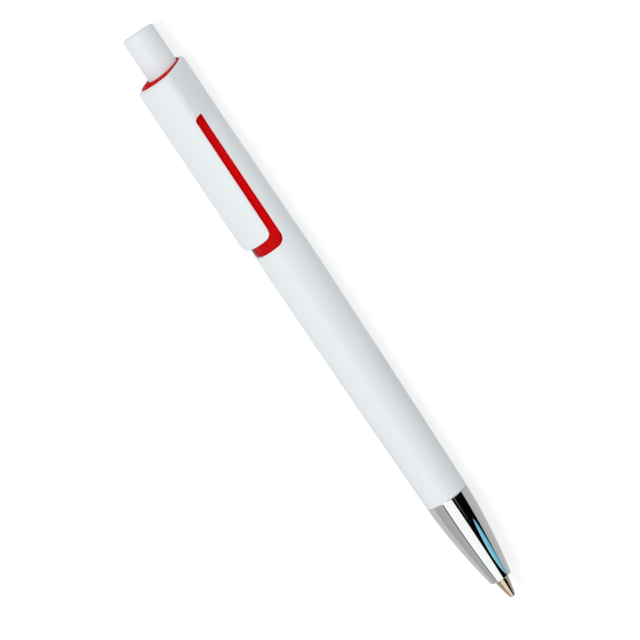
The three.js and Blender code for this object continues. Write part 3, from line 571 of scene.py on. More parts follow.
# %% Border of the grid round the window
HORN_SPREAD, CROWN_SPREAD = 56, 32
around = np.arange(AROUND_HALF + 1) / AROUND_HALF * np.pi
back_z = GRID_LOW_Z + np.arange(1, ALONG_BACK) / ALONG_BACK * (GRID_HIGH_Z - GRID_LOW_Z)
over_bank = len(half_window) - len(around) - len(back_z) - HORN_COLUMNS - CROWN_COLUMNS
top_angles = np.radians(np.concatenate([
    180 - np.arange(over_bank) / over_bank * (180 - HORN_SPREAD),
    HORN_SPREAD - np.arange(HORN_COLUMNS) / HORN_COLUMNS * (HORN_SPREAD - CROWN_SPREAD),
    np.linspace(CROWN_SPREAD, 0, CROWN_COLUMNS),
]))
border_half = np.concatenate([
    pairs(around, np.full(len(around), GRID_LOW_Z)),
    pairs(np.full(len(back_z), np.pi), back_z),
    pairs(top_angles, np.full(len(top_angles), GRID_HIGH_Z)),
])
border = mirrored(border_half)
print("columns on the border:", len(border))


def away_from_window(outline):
    """Unit steps, in angle and height, that leave the outline squarely on the unrolled surface."""
    radius = shell_radius(outline[:, 0], outline[:, 1])
    flat = pairs(outline[:, 0] * radius, outline[:, 1])
    run = np.roll(flat, -1, axis=0) - np.roll(flat, 1, axis=0)
    run /= np.maximum(HAIR, np.linalg.norm(run, axis=1))[:, None]
    step = pairs(run[:, 1], -run[:, 0])
    return pairs(step[:, 0] / radius, step[:, 1])


# %% [markdown]
# ## Shell
# Grids cover the tapered barrel, the stretch round the window, the head up to its slanted rim and the rim's
# soft edge, then the same places on the inside, and last the cut faces of the window. A cut face leaves
# the outside over a small rounding. Along the bank it runs straight in, on the horns it runs towards the
# axis, and under the clip's root it curves up into the head.
# %% The shell's grids
WINDOW_RINGS, RING_SPREAD, BARREL_RINGS, HEAD_RINGS = 29, 1.6, 60, 24
ROOT_FADE, HORN_THINNING, LEAST_ROUND, CLIP_FADE = 1.2, 0.85, 0.05, 3
LIP_INSET, LIP_RISE, RIM_BEVEL, RIM_DROP = 0.12, 0.06, 0.02, 0.06
ring_angles = np.concatenate([around, -around[-2:0:-1]])
head_angles = np.concatenate([top_angles[::-1], -top_angles[1:-1]])
near_root = smooth((window_z - CLIP_ROOT_Z + ROOT_FADE) / ROOT_FADE)
near_clip = CLIP_FADE * (np.abs(window_angle) - CLIP_EDGE) / (TOP_OF_BANK - CLIP_EDGE)
near_clip += window_z < CLIP_ROOT_Z
rounding = EDGE_ROUND * (1 - HORN_THINNING * near_root)
rounding *= LEAST_ROUND + (1 - LEAST_ROUND) * smooth(near_clip)
rounding = np.where(crown_columns, 0.0, rounding)
start_of_grid = window + away_from_window(window) * rounding[:, None]

steps = np.linspace(0, 1, WINDOW_RINGS)[:, None, None] ** RING_SPREAD
outside = start_of_grid * (1 - steps) + border * steps
window_grid = on_shell(outside[..., 0], outside[..., 1])
barrel_z = np.linspace(SHELL_END_Z + LIP_RISE, GRID_LOW_Z, BARREL_RINGS)[:, None]
barrel_grid = on_shell(ring_angles, barrel_z)
turn = quarter(5)[:, None]
lip_z = SHELL_END_Z + LIP_RISE * (1 - np.cos(turn))
lip_grid = on_shell(ring_angles, lip_z, LIP_INSET * (1 - np.sin(turn)))


def rim_height(front, rise=0.0):
    """The rim is a slanted plane: it falls towards the clip in proportion to the distance in front."""
    return RIM_Z + rise - RIM_SLOPE * front


def head_grid(shares, drop, inset):
    """Rows of the head from a level ring up to the slanted rim."""
    radius = head_radius(head_angles) - inset
    top = rim_height(radius * np.cos(head_angles), -drop)
    return round_axis(head_angles, radius, GRID_HIGH_Z + (top - GRID_HIGH_Z) * shares)


head_rows = head_grid(np.linspace(0, 1, HEAD_RINGS)[:, None], RIM_ROUND, 0.0)
turn = quarter(11)[:, None]
rim_rows = head_grid(1.0, RIM_ROUND * (1 - np.sin(turn)), RIM_ROUND * (1 - np.cos(turn)))
inner_drop = np.array([[0.0], [RIM_BEVEL], [RIM_DROP]])
inner_inset = np.array([[RIM_ROUND], [HEAD_WALL - RIM_BEVEL], [HEAD_WALL]])
inner_top = head_grid(1.0, inner_drop, inner_inset)
print("rows of the head:", len(head_rows) + len(rim_rows))

# %% The inside of the shell
COLLAR_LOW_Z, COLLAR_FULL_Z = 119.95, 121.6
BORE = BARREL_RADIUS - SHELL_WALL
INSIDE_RINGS, INSIDE_SPREAD, BORE_RINGS, COLLAR_RINGS = 9, 1.3, 14, 8
ROOT_ZONE, HORN_ZONE, DEEP_LIFT = 1.0, 0.12, 0.02


def bore_radius(angle, z):
    """The shell's inside: the wall's thickness inside the barrel, then smoothly out to the collar's bed."""
    plain = np.minimum(BORE, barrel_radius(z) - SHELL_WALL)
    plain = np.where(z > WIDEST_Z, BORE, plain)
    share = smooth((z - COLLAR_LOW_Z) / (COLLAR_FULL_Z - COLLAR_LOW_Z))
    return plain + (head_radius(angle) - HEAD_WALL - plain) * share


def in_bore(angle, z):
    """Frame points on the shell's inside."""
    return round_axis(angle, bore_radius(angle, z), z)


window_radius = shell_radius(window_angle, window_z)
inner_x = np.clip(np.sin(window_angle) * window_radius, -WINDOW_HALF, WINDOW_HALF)
above_root = smooth((window_z - CLIP_ROOT_Z + ROOT_ZONE) / ROOT_ZONE)
inner_z = window_z + (WINDOW_CORNER_Z + DEEP_LIFT - window_z) * above_root
straight_in = np.arcsin(inner_x / BORE)
on_horn = above_root * smooth((TOP_OF_BANK - np.abs(window_angle)) / HORN_ZONE)
inner_angle = straight_in + (window_angle - straight_in) * on_horn
inner_window = pairs(inner_angle, inner_z)
inside_steps = np.linspace(0, 1, INSIDE_RINGS)[:, None, None] ** INSIDE_SPREAD
inside = inner_window * (1 - inside_steps) + border * inside_steps
inside_grid = in_bore(inside[..., 0], inside[..., 1])
bore_grid = in_bore(ring_angles, np.linspace(SHELL_END_Z, GRID_LOW_Z, BORE_RINGS)[:, None])
collar_grid = head_grid(np.linspace(0, 1, COLLAR_RINGS)[:, None], RIM_DROP, HEAD_WALL)
print("columns of the inside:", inside_grid.shape[1])

# %% The cut faces of the window
ROOT_BEND, BEND_LIFT = 0.78, 0.05
outer_edge = on_shell(window_angle, window_z)
outer_deep = on_shell(window_angle, window_z, rounding)
inner_edge = inside_grid[0]
turn = quarter(6)[:, None, None]
leave = window_grid[0] - outer_edge
sink = outer_deep - outer_edge
round_rows = outer_edge + leave * (1 - np.sin(turn)) + sink * (1 - np.cos(turn))
root_bend = round_axis(window_angle, ROOT_BEND * window_radius, CLIP_ROOT_Z + BEND_LIFT)
bend = np.where(crown_columns[:, None], root_bend, (outer_deep + inner_edge) / 2)
wall_rows = bent(outer_deep, bend, inner_edge, np.linspace(0, 1, 9)[:, None, None])

shell_bottom = np.stack([lip_grid[0], bore_grid[0]])
shell_grids = [shell_bottom, lip_grid, barrel_grid, window_grid, head_rows, rim_rows, inner_top, collar_grid,
               inside_grid, bore_grid, round_rows, wall_rows]
piece("white_shell", shell_grids, "barrel", "barrel_shell", white_plastic, sharp=40.0)

# %% [markdown]
# ## Clip
# The clip is a tongue of the same crowned section as the head. Its section is a closed line: the crown with
# its soft corners, sides that lean in, and the flat inner face. The line is carried from inside the head,
# where it is drawn in a little, to the tongue's end, where each point stops on the end's arched outline.
# The end is rounded and closed on a line halfway between the two faces.
# %% Section and end of the clip
CLIP_END_Z = 90.9
CLIP_CORNER = 1.7
CLIP_ARCH = 0.35
CLIP_UNDER = 5.35
CLIP_LEAN = 0.42
CLIP_ROUND = 0.16
CLIP_DEEP_Z = 119.6
CORNER_DRAW = 0.45
TONGUE_RINGS = 60
SUNK_ROWS = ((CLIP_DEEP_Z, 0.10), (CLIP_ROOT_Z + 0.02, 0.04), (CLIP_ROOT_Z, 0.0))
HINGE_FRONT, HINGE_Z, HINGE_END_Z = 6.2, CLIP_ROOT_Z + 0.2, 104.0


def clip_section():
    """Closed section (side, front) with, for each point, the point halfway between crown and inner face."""
    angle = np.linspace(-CLIP_EDGE, CLIP_EDGE, 2 * CROWN_COLUMNS - 1)
    radius = head_radius(angle)
    crown = pairs(radius * np.sin(angle), radius * np.cos(angle))
    inner = crown.copy()
    inner[:, 0] *= (CLIP_HALF - CLIP_LEAN) / CLIP_HALF
    inner[:, 1] = CLIP_UNDER
    side = eased([crown[-1], crown[-1] + (inner[-1] - crown[-1]) * 0.5, inner[-1]], [0.1], 6)
    middle = (crown + inner) / 2
    left = side[::-1] * np.array([-1.0, 1.0])
    section = np.concatenate([crown, side[1:-1], inner[::-1], left[1:-1]])
    spine = np.concatenate([middle, np.repeat(middle[-1:], len(side) - 2, 0), middle[::-1],
                            np.repeat(middle[:1], len(left) - 2, 0)])
    return section, spine


def clip_end(x):
    """Height of the tongue's end at a distance from its middle: a shallow arch, then a round corner."""
    rise = ARCH_SHARE * CLIP_ARCH
    inner = CLIP_HALF - CLIP_CORNER
    x = np.minimum(np.abs(x), CLIP_HALF)
    arch = CLIP_END_Z + rise * (np.minimum(x, inner) / inner) ** 2
    t = 1 - np.sqrt(np.clip((CLIP_HALF - x) / CLIP_CORNER, 0, 1))
    low, mid, high = CLIP_END_Z + rise, CLIP_END_Z + 2 * rise, CLIP_END_Z + CLIP_ARCH + CLIP_CORNER
    return np.where(x <= inner, arch, bent(low, mid, high, t))


section, spine = clip_section()
crown_angle = np.linspace(0, CLIP_EDGE, 60)
crown_line = head_radius(crown_angle)


def end_below(points):
    """Height of the end under each point of the section: the face's outline, drawn in a little with depth."""
    depth_share = np.clip((CLIP_EDGE_FRONT - points[:, 1]) / (CLIP_EDGE_FRONT - CLIP_UNDER), 0, 1)
    level = np.abs(points[:, 0]) * CLIP_HALF / (CLIP_HALF - CLIP_LEAN * depth_share)
    front = np.interp(level, crown_line * np.sin(crown_angle), crown_line * np.cos(crown_angle))
    at_corner = smooth((level - CLIP_HALF + CLIP_CORNER) / CLIP_CORNER)
    return clip_end(level) + CORNER_DRAW * at_corner * (front - points[:, 1])


end_z = end_below(section)
root_rows = []
for root_z, to_spine in SUNK_ROWS:
    sunk = section + (spine - section) * to_spine
    root_rows.append(placed(sunk[:, 0], sunk[:, 1], root_z))
tongue_share = (np.arange(TONGUE_RINGS) + 1)[:, None] / TONGUE_RINGS
tongue_z = CLIP_ROOT_Z + (end_z + CLIP_ROUND - CLIP_ROOT_Z) * tongue_share
tongue_rows = placed(section[:, 0], section[:, 1], tongue_z)
turn = quarter(6)[1:, None]
reach = spine - section
reach_length = np.maximum(HAIR, np.linalg.norm(reach, axis=1))[:, None]
inset = np.minimum(0.5, CLIP_ROUND / reach_length) * (1 - np.cos(turn))[..., None]
rounded = section + reach * inset
end_rows = placed(rounded[..., 0], rounded[..., 1], end_z + CLIP_ROUND * (1 - np.sin(turn)))
end_cap = placed(spine[:, 0], spine[:, 1], end_below(spine))[None]
root_cap = placed(spine[:, 0], spine[:, 1], CLIP_DEEP_Z)[None]
clip_grid = np.concatenate([root_cap, np.stack(root_rows), tongue_rows, end_rows, end_cap])
pocket_clip = piece("pocket_clip", [clip_grid], None, "clip", white_plastic, sharp=40.0)
hinge_start = tuple(placed(0, HINGE_FRONT, HINGE_Z).tolist())
hinge_end = tuple(placed(0, HINGE_FRONT, HINGE_END_Z).tolist())
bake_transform(pocket_clip)

# %% [markdown]
# ## Gripping ridge
# Under the clip's end a low half-round ridge presses the paper against the sleeve. It is a half circle
# carried across the clip and closed at both ends.
# %% Gripping ridge
RIDGE_RADIUS = 1.1
RIDGE_Z = CLIP_END_Z + 3.4
RIDGE_LOW, RIDGE_HIGH = 4.86, 6.05
RIDGE_HALF, RIDGE_EDGE, RIDGE_PULL = 3.3, 0.06, 0.06
half_turn = np.radians(np.linspace(90, 270, 25))
ridge_front = RIDGE_LOW + RIDGE_RADIUS + RIDGE_RADIUS * np.cos(half_turn)
ridge_z = RIDGE_Z + RIDGE_RADIUS * np.sin(half_turn)
ridge_front = np.concatenate([ridge_front, [RIDGE_HIGH, RIDGE_HIGH]])
ridge_z = np.concatenate([ridge_z, [ridge_z[-1], ridge_z[0]]])
flank_x = RIDGE_HALF - RIDGE_EDGE
ridge_x = np.array([-RIDGE_HALF, -RIDGE_HALF, -flank_x, flank_x, RIDGE_HALF, RIDGE_HALF])[:, None]
pull = np.array([1.0, RIDGE_PULL, 0.0, 0.0, RIDGE_PULL, 1.0])[:, None]
ridge_grid = placed(ridge_x, ridge_front + (ridge_front.mean() - ridge_front) * pull,
                    ridge_z + (ridge_z.mean() - ridge_z) * pull)
ridge = piece("gripping_ridge", [ridge_grid], None, "clip", white_plastic, sharp=40.0)
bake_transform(ridge)

# %% [markdown]
# ## Red sleeve
# The sleeve shows through the window and as a ring round the button. It is one closed grid: up the
# outside, over the collar's soft edge, across the slanted top with a crescent pocket sunk into it in
# front, and down the bore. Where the pocket ends its rows fall together, so no edge is left open.
# %% Red sleeve
SLEEVE_RADIUS = 4.62
SLEEVE_BORE = 3.8
SLEEVE_BOTTOM_Z = 84.55
COLLAR_GAP = 0.12
COLLAR_PROUD = 0.27
COLLAR_ROUND, COLLAR_DEEP = 0.12, 3.0
SWELL_Z, SWELL_LENGTH = 119.7, 1.6
BOTTOM_EDGE, BORE_EDGE, BORE_BEVEL = 0.1, 0.08, 0.02
BORE_HEIGHTS = (126.0, SWELL_Z, 110.0, 97.0, SLEEVE_BOTTOM_Z)
POCKET_MIDDLE, POCKET_HALF, POCKET_TURN, POCKET_DEPTH = 4.74, 0.6, math.radians(40), 3.0
POCKET_EDGE = 0.06
FROM_COLLAR, FROM_ROUNDING, FROM_BORE = 0.14, 0.16, 0.1

angles = full_turn(240) - np.pi
collar = head_radius(angles) - HEAD_WALL - COLLAR_GAP


def sleeve_row(radius, z):
    """A row at a height, with one radius or a radius for each angle."""
    return round_axis(angles, radius, z)


def top_row(radius, sunk):
    """A row on the slanted top, sunk below it by a given depth."""
    return sleeve_row(radius, rim_height(radius * np.cos(angles), COLLAR_PROUD) - sunk)


rows = [sleeve_row(SLEEVE_BORE, SLEEVE_BOTTOM_Z), sleeve_row(SLEEVE_RADIUS - BOTTOM_EDGE, SLEEVE_BOTTOM_Z)]
rows += [sleeve_row(SLEEVE_RADIUS, z) for z in np.linspace(SLEEVE_BOTTOM_Z + BOTTOM_EDGE, SWELL_Z, 30)]
for share in np.linspace(0, 1, 9)[1:]:
    swollen = SLEEVE_RADIUS + (collar - SLEEVE_RADIUS) * smooth(share)
    rows.append(sleeve_row(swollen, SWELL_Z + SWELL_LENGTH * share))
rows.append(top_row(collar, COLLAR_DEEP))
for turn in quarter(5):
    rows.append(top_row(collar - COLLAR_ROUND * (1 - np.cos(turn)), COLLAR_ROUND * (1 - np.sin(turn))))
half = POCKET_HALF * np.clip(1 - np.abs(angles / POCKET_TURN) ** 6, 0, 1) ** 0.5
in_pocket = half > 0
depth = np.where(in_pocket, POCKET_DEPTH, 0.0)
edge = np.where(in_pocket, POCKET_EDGE, 0.0)
pocket_rows = [(half + edge, 0.0), (half, edge), (half, depth),
               (-half, depth), (-half, edge), (-half - edge, 0.0)]
narrow = np.minimum(collar - FROM_COLLAR, np.maximum(collar - FROM_ROUNDING, SLEEVE_BORE + FROM_BORE))
flat = top_row(np.minimum(POCKET_MIDDLE, narrow), 0.0)
for aside, sunk in pocket_rows:
    rows.append(np.where(in_pocket[:, None], top_row(POCKET_MIDDLE + aside, sunk), flat))
rows += [top_row(SLEEVE_BORE + BORE_EDGE, 0.0), top_row(SLEEVE_BORE + BORE_BEVEL, BORE_BEVEL),
         top_row(SLEEVE_BORE, BORE_EDGE)]
rows += [sleeve_row(SLEEVE_BORE, z) for z in BORE_HEIGHTS]
piece("red_sleeve", [np.stack(rows)], "barrel", "inner_sleeve", red_plastic, sharp=40.0)

# %% [markdown]
# ## Guide ribs
# Inside the sleeve four ribs leave four slots. The fins of both cams run in the slots, and the rotor's
# fins rest on the ribs' saw-toothed ends while the point is out. A stop ring closes the slots above. The
# inner radius jumps with the angle, so each flank is two columns at one angle.
# %% Guide ribs
RIB_END_Z, RIB_TOP_Z, STOP_TOP_Z, RIB_INNER, RIB_HOOK = 109.0, 118.3, 119.7, 2.9, 0.9
RIB_HALF = math.radians(27)
RIB_FOOT, RIB_SUNK = SLEEVE_BORE - 0.01, SLEEVE_BORE + 0.1
SLOT_TURNS = np.radians([30, 36, 45, 54, 60])
turns = np.linspace(-RIB_HALF, RIB_HALF, 25)
share = (turns + RIB_HALF) / RIB_HALF
saw = np.where(share >= 2, 1.0, share % 1.0)
columns, inner_radius, low_end = [], [], []
for middle in np.radians([45, 135, 225, 315]):
    columns += [[middle - RIB_HALF], middle + turns, [middle + RIB_HALF], middle + SLOT_TURNS]
    inner_radius += [[RIB_FOOT], np.full(25, RIB_INNER), [RIB_FOOT], np.full(5, RIB_FOOT)]
    low_end += [[RIB_END_Z], RIB_END_Z + RIB_HOOK * saw, [RIB_END_Z + RIB_HOOK], np.full(5, RIB_END_Z)]
columns, inner_radius, low_end = (np.concatenate(x) for x in (columns, inner_radius, low_end))
outline = [(RIB_SUNK, low_end), (inner_radius, low_end), (inner_radius, RIB_TOP_Z), (RIB_INNER, RIB_TOP_Z),
           (RIB_INNER, STOP_TOP_Z), (RIB_SUNK, STOP_TOP_Z), (RIB_SUNK, low_end)]
rib_grid = np.stack([round_axis(columns, radius, z) for radius, z in outline])
piece("guide_ribs", [rib_grid], "barrel", "inner_sleeve", red_plastic, sharp=30.0)

# %% [markdown]
# ## Push button
# A plain turned cap with a flat end and a generous rounding, hollow for the cam's stem. One profile, from
# the roof inside round the skirt to the middle of the top, is carried once round the axis.
# %% Push button
BUTTON_TOP_Z, BUTTON_BOTTOM_Z, BUTTON_RADIUS, BUTTON_ROUND = 140.7, 121.5, 3.62, 1.0
BUTTON_ROOF_Z, BUTTON_BORE, BUTTON_SIDE_Z = 138.2, 2.72, 139.0
button_profile = eased(
    [[0, BUTTON_ROOF_Z], [BUTTON_BORE, BUTTON_ROOF_Z], [BUTTON_BORE, BUTTON_BOTTOM_Z],
     [BUTTON_RADIUS, BUTTON_BOTTOM_Z], [BUTTON_RADIUS, BUTTON_SIDE_Z], [BUTTON_RADIUS, BUTTON_TOP_Z],
     [0, BUTTON_TOP_Z]],
    [0.2, 0.1, 0.12, 0, BUTTON_ROUND], 10)
piece("push_button", [turned(button_profile, 128)], "button", "button_cap", white_plastic)

# %% [markdown]
# ## Plated cone
# The cone's outside is a power curve that leaves the barrel almost parallel and narrows faster towards
# the mouth. Behind the shoulder it has a threaded spigot: the thread is a wave whose phase moves on by
# one pitch for each turn round the axis, fading out at both ends.
# %% Plated cone
NOSE_END_Z, NOSE_END_RADIUS, NOSE_CURVE, NOSE_TOP_Z = 4.75, 2.45, 1.65, 25.2
POINT_HOLE, NOSE_BORE, NOSE_SEAT_Z, SPIGOT_TOP_Z = 1.65, 2.55, 7.9, 31.5
SPIGOT_RADIUS = JOINT_RADIUS - SHELL_WALL - 0.15
MOUTH_ROUND, CLOSE_RING, SHOULDER_EASE, SPIGOT_END = 0.12, 0.02, 0.03, 0.3
THREAD_PITCH, THREAD_DEPTH, THREAD_PLAIN, THREAD_FADE = 0.75, 0.26, 0.7, 0.5
NOSE_COLUMNS = 128


def cone_radius(share):
    """The cone's radius at a share of its length: a power curve that runs level at the shoulder."""
    return NOSE_END_RADIUS + (JOINT_RADIUS - NOSE_END_RADIUS) * (1 - (1 - share) ** NOSE_CURVE)


nose_z = NOSE_END_Z + MOUTH_ROUND + (NOSE_TOP_Z - NOSE_END_Z - 2 * MOUTH_ROUND) * np.linspace(0, 1, 70)
nose_z = np.concatenate([nose_z[:1], nose_z[:1] + CLOSE_RING, nose_z[1:], nose_z[-1:] + CLOSE_RING])
nose_radius = cone_radius((nose_z - NOSE_END_Z) / (NOSE_TOP_Z - NOSE_END_Z))
mouth = quarter(8)[::-1]
mouth_radius = nose_radius[0] - MOUTH_ROUND * (1 - np.cos(mouth))
mouth_rows = pairs(mouth_radius, nose_z[0] - MOUTH_ROUND * np.sin(mouth))
nose_profile = np.concatenate([
    eased([[NOSE_BORE, NOSE_SEAT_Z], [POINT_HOLE, NOSE_SEAT_Z], [POINT_HOLE, NOSE_END_Z], mouth_rows[0]],
          [0, MOUTH_ROUND], 4),
    mouth_rows[1:-1], pairs(nose_radius, nose_z),
    [[JOINT_RADIUS - SHOULDER_EASE / 3, NOSE_TOP_Z - CLOSE_RING], [JOINT_RADIUS - SHOULDER_EASE, NOSE_TOP_Z],
     [SPIGOT_RADIUS, NOSE_TOP_Z]],
])
spigot_z = np.linspace(NOSE_TOP_Z + SPIGOT_END, SPIGOT_TOP_Z - SPIGOT_END, 110)
nose_turn = full_turn(NOSE_COLUMNS)
fade_in = smooth((spigot_z - NOSE_TOP_Z - THREAD_PLAIN) / THREAD_FADE)
fade_out = smooth((SPIGOT_TOP_Z - THREAD_FADE - spigot_z) / THREAD_FADE)
wave = 0.5 - 0.5 * np.cos(2 * np.pi * spigot_z[:, None] / THREAD_PITCH - nose_turn)
thread_radius = SPIGOT_RADIUS - THREAD_DEPTH * wave * (fade_in * fade_out)[:, None]
thread_grid = round_axis(nose_turn, thread_radius, spigot_z[:, None])
end_profile = eased([[SPIGOT_RADIUS, SPIGOT_TOP_Z - SPIGOT_END], [SPIGOT_RADIUS, SPIGOT_TOP_Z],
                     [NOSE_BORE, SPIGOT_TOP_Z], [NOSE_BORE, NOSE_SEAT_Z]], [0.2, 0.15], 4)
front_grid, end_grid = turned(nose_profile, NOSE_COLUMNS), turned(end_profile, NOSE_COLUMNS)
nose_grid = np.concatenate([front_grid, thread_grid, end_grid])
piece("plated_cone", [nose_grid], "nose", "nose_cone", chrome_plate)

# %% [markdown]
# ## Painted reflections round the cone
# A mirror has no looks of its own. In the photograph the cone shows a white card overhead, a black one
# beside it with a pale blue sheet in front, and grey ones beyond, as narrow bands that run to the mouth.
# The cone's own surface tells where they go: a band of it is picked by angle and height, the view is mirrored
# there by n times twice (n . v) less v, and the card lies where the mirrored rays end, a quarter of a metre
# off or just above the table. The cards glow and are seen only in mirrors, so they light and shade nothing:
# they are painted reflections.
# %% Cards
CARD_REACH, ABOVE_TABLE, LEAST_FALL = 0.25, 0.0003, 1e-6
IN_FRONT = {"above_table": 0.0008, "reach": 0.9 * CARD_REACH}
SHOULDER_SLOPE = (JOINT_RADIUS - NOSE_END_RADIUS) * NOSE_CURVE / (NOSE_TOP_Z - NOSE_END_Z)
PLATE_SHARE = 0.87
view_turn = -math.atan2(back[1], back[2])


def painted_reflection_card(name, turn, z, first, last, above_table=ABOVE_TABLE, reach=CARD_REACH):
    """A sheet where the rays end that the cone mirrors at turns from the view and at heights.

    Its colour runs from first to last across it. It glows and is seen only in mirrors, as a painted
    reflection."""
    turn, z = np.broadcast_arrays(turn, z)
    share = (z - NOSE_END_Z) / (NOSE_TOP_Z - NOSE_END_Z)
    slope = SHOULDER_SLOPE * np.maximum(0, 1 - share) ** (NOSE_CURVE - 1)
    radius = cone_radius(np.clip(share, 0, 1))
    angle = view_turn + turn
    spot = round_axis(angle, radius, z)
    normal = unit(np.stack([-slope, -np.sin(angle), np.cos(angle)], axis=-1))
    view = unit(camera_spot - spot)
    ray = 2 * np.sum(normal * view, axis=-1)[..., None] * normal - view
    fall = np.maximum(LEAST_FALL, -ray[..., 2])
    length = np.where(ray[..., 2] < 0, np.minimum(reach, (spot[..., 2] - above_table) / fall), reach)
    points = spot + ray * length[..., None]
    rows, columns = points.shape[:2]
    mesh = bpy.data.meshes.new(name)
    mesh.from_pydata(points.reshape(-1, 3).tolist(), [], grid_faces(rows, columns, 0, False).tolist())
    across_card = np.tile(np.linspace(0, 1, columns), rows)
    mesh.attributes.new("across_card", "FLOAT", "POINT").data.foreach_set("value", across_card)
    material, tree = new_material(name + "_face")
    share_across = add(tree, "Attribute", attribute_name="across_card").outputs["Fac"]
    run = add(tree, "Mix", {"A": first, "B": last, "Factor": share_across}, data_type="RGBA")
    bright = add(tree, "Emission", {"Color": run.outputs["Result"], "Strength": 1 / PLATE_SHARE})
    add(tree, "OutputMaterial", {"Surface": bright.outputs[0]})
    mesh.materials.append(material)
    sheet = in_scene(name, mesh)
    # Painted reflection: the sheet is hidden from the camera, from diffuse and transmitted rays and from
    # shadows, so it shows only in the cone's mirror.
    for kind_of_ray in ("camera", "diffuse", "transmission", "shadow"):
        setattr(sheet, "visible_" + kind_of_ray, False)


# Painted reflections: bands of grey, white and black that the cone shows, one glowing card each.
band_z = np.linspace(-14, 60, 60)[:, None]
down_cone = (NOSE_TOP_Z - band_z) / (NOSE_TOP_Z - NOSE_END_Z)
SHOULDER_TURNS, DRIFTS = (-89, -48, -21.3, -18.4, 5.5, 39.5, 89), (0, 0, -5, -4.6, 3.2, -5, 0)
BANDS = {"far_grey": (200, 190), "mid_grey": (163, 173), "dark_line": (82, 82), "white_card": (254, 248),
         "black_card": (6, 4), "near_grey": (174, 190)}
borders = [turn + drift * down_cone for turn, drift in zip(SHOULDER_TURNS, DRIFTS)]
for (name, greys), start, end in zip(BANDS.items(), borders[:-1], borders[1:]):
    band_turn = np.radians(start + (end - start) * np.linspace(0, 1, 40))
    painted_reflection_card(name, band_turn, band_z, paint(*[greys[0]] * 3), paint(*[greys[1]] * 3))

SHEET_TURN, SHEET_HALF, SHEET_TOP_Z, SHEET_LENGTH = 27, 12.6, 19.1, 13.95
share = np.linspace(0, 1, 60)[:, None]
sheet_half = SHEET_HALF * share**0.6 * (1 - share**5)
sheet_turn = SHEET_TURN - 2 * np.sin(np.pi * share) + 4.5 * share**6 + np.linspace(-1, 1, 15) * sheet_half
painted_reflection_card("blue_sheet", np.radians(sheet_turn), SHEET_TOP_Z - SHEET_LENGTH * share,
              paint(150, 212, 230), paint(70, 160, 190), **IN_FRONT)

SLIT_TURN, SLIT_HALF, SLIT_TOP_Z, SLIT_LENGTH = 13.0, 2.8, 32, 13.5
share = np.linspace(0, 1, 20)[:, None]
slit_turn = SLIT_TURN + np.array([-SLIT_HALF, SLIT_HALF]) * (1 - share)
painted_reflection_card("slit", np.radians(slit_turn), SLIT_TOP_Z - SLIT_LENGTH * share, paint(112, 101, 96),
              paint(92, 83, 79), **IN_FRONT)
print("cards:", sorted(BANDS) + ["blue_sheet", "slit"])

# %% [markdown]
# ## Writing point and ball
# The point is turned: a drilled shank, a body that fills the cone's hole, a shoulder and a cone that ends
# in a lip rolled over the ball. The ball is a grid of latitudes and longitudes with its poles on the axis.
# %% Writing point and ball
BALL_RADIUS, BALL_PLAY = 0.5, 0.05
INK_HOLE, SHANK_RADIUS, POINT_RADIUS, NECK_RADIUS = 0.3, 0.88, 1.5, 0.94
POINT_TOP_Z, SHANK_Z, SHOULDER_Z, SHOULDER_EDGE, NECK_Z, LIP_Z = 15.6, 9.8, 4.2, 0.07, 1.4, 0.25
LIP_RADIUS, LIP_ROOT_RADIUS, LIP_ROOT_Z = 0.64, 0.69, 0.45
socket = BALL_RADIUS + BALL_PLAY
cavity = np.linspace(math.asin((LIP_Z - BALL_RADIUS) / socket), math.acos(INK_HOLE / socket), 12)
cavity_rows = pairs(socket * np.cos(cavity), BALL_RADIUS + socket * np.sin(cavity))
edge_inset = SHOULDER_EDGE * (POINT_RADIUS - NECK_RADIUS) / (SHOULDER_Z - NECK_Z)
outer_point = eased(
    [[INK_HOLE, POINT_TOP_Z], [SHANK_RADIUS, POINT_TOP_Z], [SHANK_RADIUS, SHANK_Z], [POINT_RADIUS, SHANK_Z],
     [POINT_RADIUS, SHOULDER_Z + SHOULDER_EDGE], [POINT_RADIUS, SHOULDER_Z],
     [POINT_RADIUS - edge_inset, SHOULDER_Z - SHOULDER_EDGE], [NECK_RADIUS, NECK_Z],
     [LIP_ROOT_RADIUS, LIP_ROOT_Z], [LIP_RADIUS, LIP_Z], cavity_rows[0]],
    [0.12, 0.05, 0.12, 0, 0.05, 0, 0.2, 0.15, 0.06], 5)
point_profile = np.concatenate([cavity_rows, outer_point])
piece("writing_tip", [turned(point_profile)], "refill", "writing_point", nickel_silver)
latitude = np.radians(np.linspace(-90, 90, 33))
ball_profile = BALL_RADIUS * pairs(np.abs(np.cos(latitude)), 1 + np.sin(latitude))
piece("ball", [turned(ball_profile, 48)], "ball", "writing_ball", carbide)

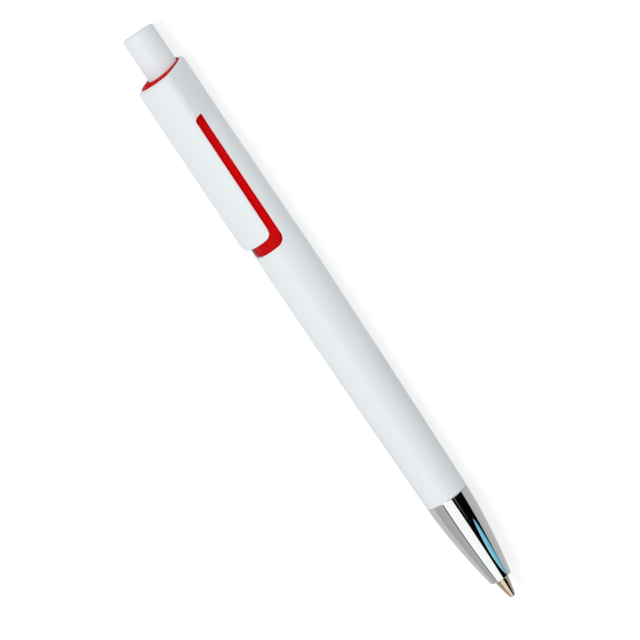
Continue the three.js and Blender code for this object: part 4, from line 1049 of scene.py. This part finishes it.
# %% [markdown]
# ## Return spring
# A wire of round section is carried along a helix. The height grows slowly in the first and last turns,
# so the end coils lie close, and evenly between. The section is set square to the wire: one direction
# points out from the axis, the other is square to that and to the wire's run.
# %% Return spring
COILS, WIRE_RADIUS, COIL_RADIUS, CLOSE_TURNS, CLOSE_PACE = 12, 0.2, 1.98, 1.6, 0.22
SPRING_LOW_Z, SPRING_HIGH_Z = 8.3, 27.6
ALONG_TURN, ROUND_WIRE = 48, 14
turns = np.linspace(0, COILS, COILS * ALONG_TURN + 1)
opened = smooth(turns / CLOSE_TURNS) * smooth((COILS - turns) / CLOSE_TURNS)
pace = opened * (1 - CLOSE_PACE) + CLOSE_PACE
height = np.concatenate([[0.0], np.cumsum((pace[1:] + pace[:-1]) / 2)])
height = SPRING_LOW_Z + (SPRING_HIGH_Z - SPRING_LOW_Z) * height / height[-1]
coil_turn = 2 * np.pi * turns
outwards = np.stack([np.sin(coil_turn), np.cos(coil_turn), 0 * turns], axis=-1)
wire = COIL_RADIUS * outwards
wire[:, 2] = height
upwards = np.cross(unit(np.gradient(wire, axis=0)), outwards)
section_turn = full_turn(ROUND_WIRE)[None, :, None]
section = np.cos(section_turn) * outwards[:, None] + np.sin(section_turn) * upwards[:, None]
tube = wire[:, None] + WIRE_RADIUS * section
first_end, last_end = (np.repeat(wire[end, None], ROUND_WIRE, 0)[None] for end in (0, -1))
tube = np.concatenate([first_end, tube, last_end])
spring_grid = placed(tube[..., 0], tube[..., 1], tube[..., 2])
return_spring = piece("return_spring", [spring_grid], None, "spring", spring_wire, sharp=50.0)
tuple(placed(0, 0, SPRING_LOW_Z).tolist())
tuple(placed(0, 0, SPRING_HIGH_Z).tolist())
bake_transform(return_spring)

# %% [markdown]
# ## Inner pieces that keep their solids
# The two cams, the refill's holder, its tube and the ink are hidden while the pen is whole. Their packed
# solids are already right, so they only get finishes. A solid behind a new surface gets that surface's own.
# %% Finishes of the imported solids
FINISHES = {"drive_cam rotor_cam point_holder ink_tube": milky_plastic, "ink": blue_ink,
            "barrel_shell clip button_cap": white_plastic, "inner_sleeve": red_plastic,
            "nose_cone": chrome_plate, "writing_point": nickel_silver, "writing_ball": carbide,
            "spring": spring_wire}
for nodes, material in FINISHES.items():
    for node in nodes.split():
        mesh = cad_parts[node].data
        mesh.materials.clear()
        mesh.materials.append(material)
print("solids with their finishes:", sum(len(nodes.split()) for nodes in FINISHES))

# %% Update the scene
bpy.context.view_layer.update()
